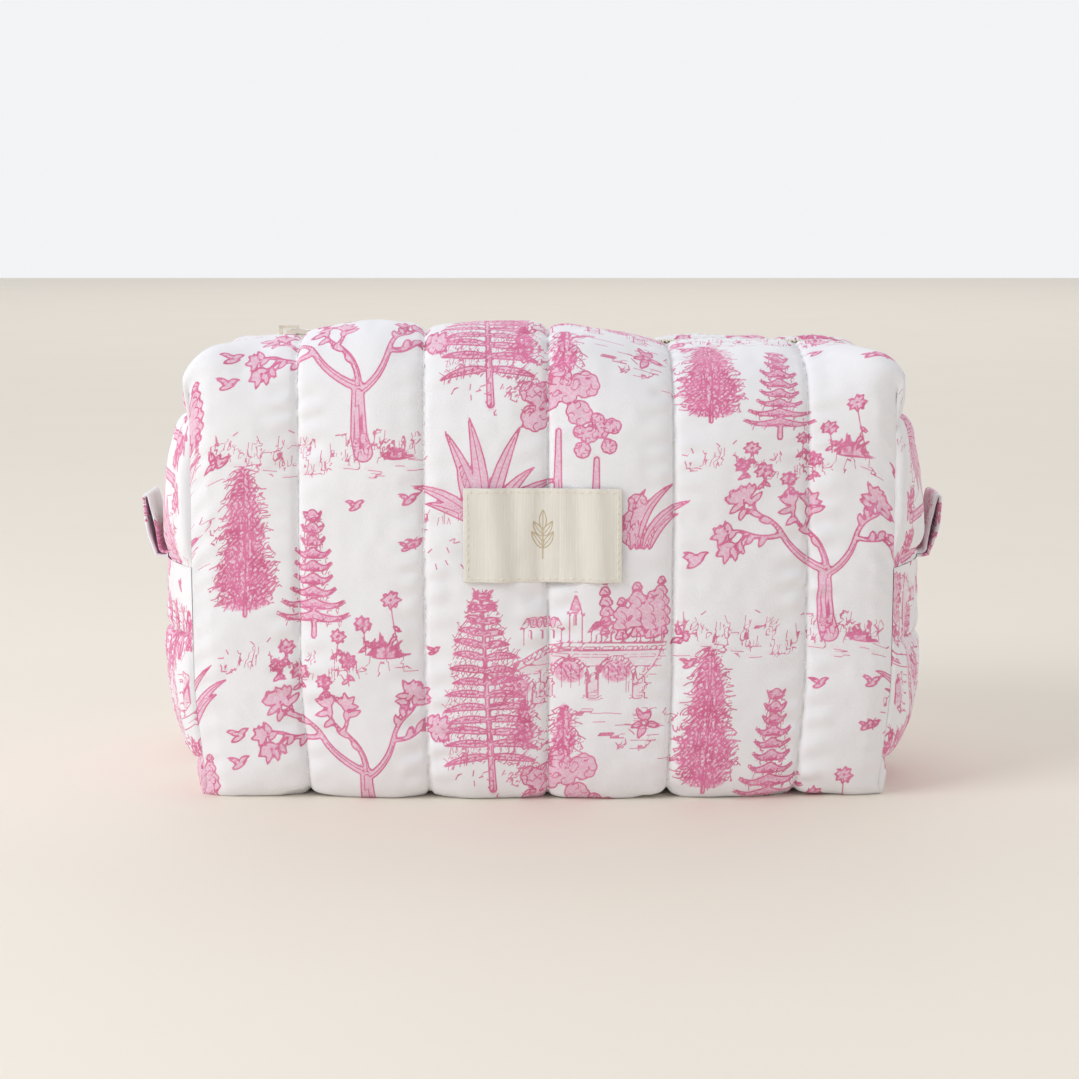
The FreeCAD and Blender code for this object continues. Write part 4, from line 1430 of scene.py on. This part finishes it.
def build_label():
    half = HALVES["front"]
    u = np.linspace(-LABEL_WIDTH / 2, LABEL_WIDTH / 2, 141)
    w = np.linspace(-LABEL_HEIGHT / 2, LABEL_HEIGHT / 2, 87)
    flat_u, flat_w = np.meshgrid(u, w)
    v = V_OF_FLOOR + LABEL_MIDDLE + flat_w
    wide = np.linspace(-4.0, 4.0, 9)
    tall = (-4.0, 0.0, 4.0)
    places = sum(sample_grid(half, flat_u + a, v + b) for a in wide for b in tall)
    places = places / (len(wide) * len(tall))
    normal = grid_normals(places)
    normal *= np.sign(-np.mean(normal[..., 1]))
    near_side = 1.0 - smooth(np.minimum(flat_u + LABEL_WIDTH / 2, LABEL_WIDTH / 2 - flat_u) / 5.0)
    folds = (
        0.55 * np.exp(-((flat_u + 15.0 + 0.10 * flat_w) / 3.2) ** 2)
        - 0.45 * np.exp(-((flat_u + 9.0 + 0.06 * flat_w) / 2.6) ** 2)
        + 0.42 * np.exp(-((flat_u - 4.0 - 0.05 * flat_w) / 3.6) ** 2)
        - 0.5 * np.exp(-((flat_u - 11.5 + 0.08 * flat_w) / 2.8) ** 2)
        + 0.45 * np.exp(-((flat_u - 18.0 + 0.05 * flat_w) / 2.8) ** 2)
        + 0.18 * soft_noise(flat_u, flat_w * 0.4, 6.0, 8)
    )
    lift = 1.35 + 1.35 * folds * (1.0 - 0.7 * near_side)
    from_side = np.minimum(u - u[0], u[-1] - u)[None, :]
    from_edge = np.minimum(from_side, np.minimum(w - w[0], w[-1] - w)[:, None])
    lift = lift + 0.12 * np.clip(1.0 - np.abs(from_edge - 1.0), 0.0, 1.0)
    front = places + normal * lift[..., None]
    back = places + normal * (lift - 0.42)[..., None]
    sheet = Sheet(flat_u, flat_w)
    label_motif(sheet)
    layers = double_layers(sheet, ("side", "gap", "form"))
    points = np.concatenate([front.reshape(-1, 3), back.reshape(-1, 3)])
    piece = mesh_piece("satin_label", points, closed_skin(*flat_u.shape), label_satin(), layers)
    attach(piece, "root")
    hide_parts("label")

    random = np.random.default_rng(12)
    label_half = {"grid": front, "u": u, "v": w}
    starts_u, starts_v = [], []
    for edge in (u[0] + 1.3, u[-1] - 1.3):
        line = np.arange(w[0] + 1.2, w[-1] - 2.4, 2.5)
        across = edge + random.uniform(-0.08, 0.08, len(line))
        starts_u.append(np.stack([across, across], axis=1))
        starts_v.append(np.stack([line, line + 1.7], axis=1))
    for edge in (w[0] + 1.2, w[-1] - 1.2):
        line = np.arange(u[0] + 1.4, u[-1] - 2.6, 2.5)
        level = edge + random.uniform(-0.08, 0.08, len(line))
        starts_u.append(np.stack([line, line + 1.7], axis=1))
        starts_v.append(np.stack([level, level], axis=1))
    u, v = np.concatenate(starts_u), np.concatenate(starts_v)
    points = stitch_row(label_half, u, v, 0.24, 0.22)
    piece = mesh_piece("label_stitching", points, thread_quads(len(u)), LABEL_THREAD)
    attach(piece, "root")


build_label()


# ---- loop tabs ----------------------------------------------------------------------------------

def tab_path(sign, root, rise, lean, gap):
    """Centre line of the folded strip: up, round the fold and down again."""
    up = np.linspace(0.0, 1.0, 22)
    fold_turn = np.linspace(0.0, math.pi, 12)
    inner = np.stack([-gap / 2 - 0.25 * np.sin(up * math.pi), up * rise], axis=1)
    outer = np.stack([gap / 2 + 0.9 * np.sin(up * math.pi), up * rise], axis=1)
    arc = np.stack([-gap / 2 * np.cos(fold_turn), rise + gap / 2 * np.sin(fold_turn)], axis=1)
    root_in = np.array([[-gap / 2 - 6.0, -1.6], [-gap / 2 - 3.0, -1.5], [-gap / 2 - 0.8, -0.9]])
    root_out = np.array([[gap / 2 - 0.2, -1.5], [gap / 2 - 2.6, -2.4], [gap / 2 - 6.0, -2.7]])
    path = np.concatenate([root_in, inner, arc[1:-1], outer[::-1], root_out])
    turned = np.stack(
        [path[:, 0] * math.cos(lean) + path[:, 1] * math.sin(lean),
         -path[:, 0] * math.sin(lean) + path[:, 1] * math.cos(lean)], axis=1
    )
    places = np.array(root) + turned
    places[:, 0] *= sign
    return places


def build_tab(name, sign, body, offset_u):
    low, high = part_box(name)
    half_width = 0.5 * (high[1] - low[1]) / MM
    rise = (high[2] - low[2]) / MM - 1.4
    inner_x = min(abs(low[0]), abs(high[0])) / MM
    path = tab_path(sign, (inner_x + 1.3, low[2] / MM), rise, math.radians(11.0), 1.7)
    run = np.concatenate(([0.0], np.cumsum(np.linalg.norm(np.diff(path, axis=0), axis=1))))
    fine = np.linspace(0.0, run[-1], 80)
    line = np.stack([np.interp(fine, run, path[:, k]) for k in range(2)], axis=1)
    ahead = unit(np.gradient(line, axis=0))
    across = np.linspace(-half_width, half_width, 40)
    flat_run, flat_across = np.meshgrid(fine, across)
    past_edge = np.clip(np.abs(flat_across) - (half_width - 0.6), 0, 0.6)
    rounding = 0.5 * np.sqrt(np.clip(1.0 - past_edge ** 2 / 0.36, 0.0, 1.0))
    wave = 0.22 * soft_noise(flat_run + offset_u, flat_across, 8.0, 5)
    wave = wave + 0.1 * soft_noise(flat_run, flat_across, 3.0, 6)
    seam_dip = -0.2 * np.exp(-((np.abs(flat_across) - (half_width - 2.0)) / 0.5) ** 2)
    skins = []
    for face in (1.0, -1.0):
        shift = face * (rounding + seam_dip) + wave
        x = line[:, 0] - ahead[:, 1] * shift
        z = line[:, 1] + ahead[:, 0] * shift
        skins.append(np.stack([x, flat_across + 0 * x, z], axis=-1))
    quads = closed_skin(*flat_run.shape, True, True)
    if sign < 0:
        quads = quads[:, ::-1]
    sheet = Sheet(flat_run + offset_u, flat_across + 90.0)
    draw_print(sheet)
    layers = double_layers(sheet, INK)
    points = np.concatenate([skins[0].reshape(-1, 3), skins[1].reshape(-1, 3)])
    piece = mesh_piece(name + "_loop", points, quads, COTTON, layers)
    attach(piece, body)
    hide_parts(name)


build_tab("left_tab", -1.0, "left_loop", 44.0)
build_tab("right_tab", 1.0, "right_loop", 118.0)


# ---- kept CAD pieces ----------------------------------------------------------------------------

def dress(node, material):
    item = bpy.data.objects[node]
    item.data.materials.clear()
    item.data.materials.append(material)


for node in ("zip_slider", "zip_puller"):
    dress(node, METAL)
for node in ("left_seam", "right_seam", "front_left_corner", "front_right_corner",
             "back_left_corner", "back_right_corner"):
    dress(node + "_binding", BINDING)


# ---- stage, light and camera --------------------------------------------------------------------

FLOOR_REACH = 6.0


def build_floor():
    n = Nodes("pale_floor")
    grain = n.noise(n.place(), 6.0, 3.0)
    n.set(color=n.mix(grain, colour(246, 238, 226), colour(242, 233, 219)))
    n.set(rough=0.6, specular=0.3)
    corners = [(x * FLOOR_REACH, y * FLOOR_REACH, 0.0) for x, y in ((-1, -1), (1, -1), (1, 1), (-1, 1))]
    mesh = bpy.data.meshes.new("floor")
    mesh.from_pydata(corners, [], [(0, 1, 2, 3)])
    mesh.materials.append(n.material)
    item = bpy.data.objects.new("floor", mesh)
    bpy.context.scene.collection.objects.link(item)


build_floor()

world = bpy.data.worlds.new("soft_studio")
bpy.context.scene.world = world
world.use_nodes = True
sky = world.node_tree.nodes["Background"]
sky.inputs["Color"].default_value = (0.97, 0.98, 1.0, 1.0)
sky_place = world.node_tree.nodes.new("ShaderNodeTexCoord")
sky_split = world.node_tree.nodes.new("ShaderNodeSeparateXYZ")
sky_ramp = world.node_tree.nodes.new("ShaderNodeMapRange")
world.node_tree.links.new(sky_place.outputs["Generated"], sky_split.inputs[0])
world.node_tree.links.new(sky_split.outputs["Y"], sky_ramp.inputs["Value"])
for limit, value in {"From Min": -0.2, "From Max": 0.9, "To Min": 0.52, "To Max": 0.92}.items():
    sky_ramp.inputs[limit].default_value = value
world.node_tree.links.new(sky_ramp.outputs["Result"], sky.inputs["Strength"])
bpy.context.scene.view_settings.view_transform = "Standard"


def area_light(name, place, aim, size, power, tint):
    data = bpy.data.lights.new(name, "AREA")
    data.shape = "SQUARE"
    data.size = size
    data.energy = power
    data.color = tint
    item = bpy.data.objects.new(name, data)
    item.location = place
    item.rotation_euler = (Vector(aim) - Vector(place)).to_track_quat("-Z", "Y").to_euler()
    bpy.context.scene.collection.objects.link(item)


area_light("far_light", (0.0, 3.6, 2.6), (0.0, 3.4, 0.0), 4.0, 26.0, (1.0, 0.99, 0.97))
area_light("window_light", (-1.25, -0.75, 0.95), (0.0, 0.0, 0.06), 0.9, 13.5, (0.95, 0.975, 1.0))
area_light("warm_fill", (1.4, -0.6, 0.7), (0.0, 0.0, 0.07), 1.0, 1.5, (1.0, 0.93, 0.85))

CAMERA_DISTANCE = 0.75
CAMERA_HEIGHT = 0.19
CAMERA_TILT = math.radians(7.9)
CAMERA_ASIDE = -0.001
camera_data = bpy.data.cameras.new("front_camera")
camera_data.lens = 79.0
camera = bpy.data.objects.new("front_camera", camera_data)
camera.location = Vector((CAMERA_ASIDE, -FRONT_HALF_DEPTH * MM - CAMERA_DISTANCE, CAMERA_HEIGHT))
camera.rotation_euler = (math.pi / 2.0 - CAMERA_TILT, 0.0, 0.0)
bpy.context.scene.collection.objects.link(camera)
bpy.context.scene.camera = camera
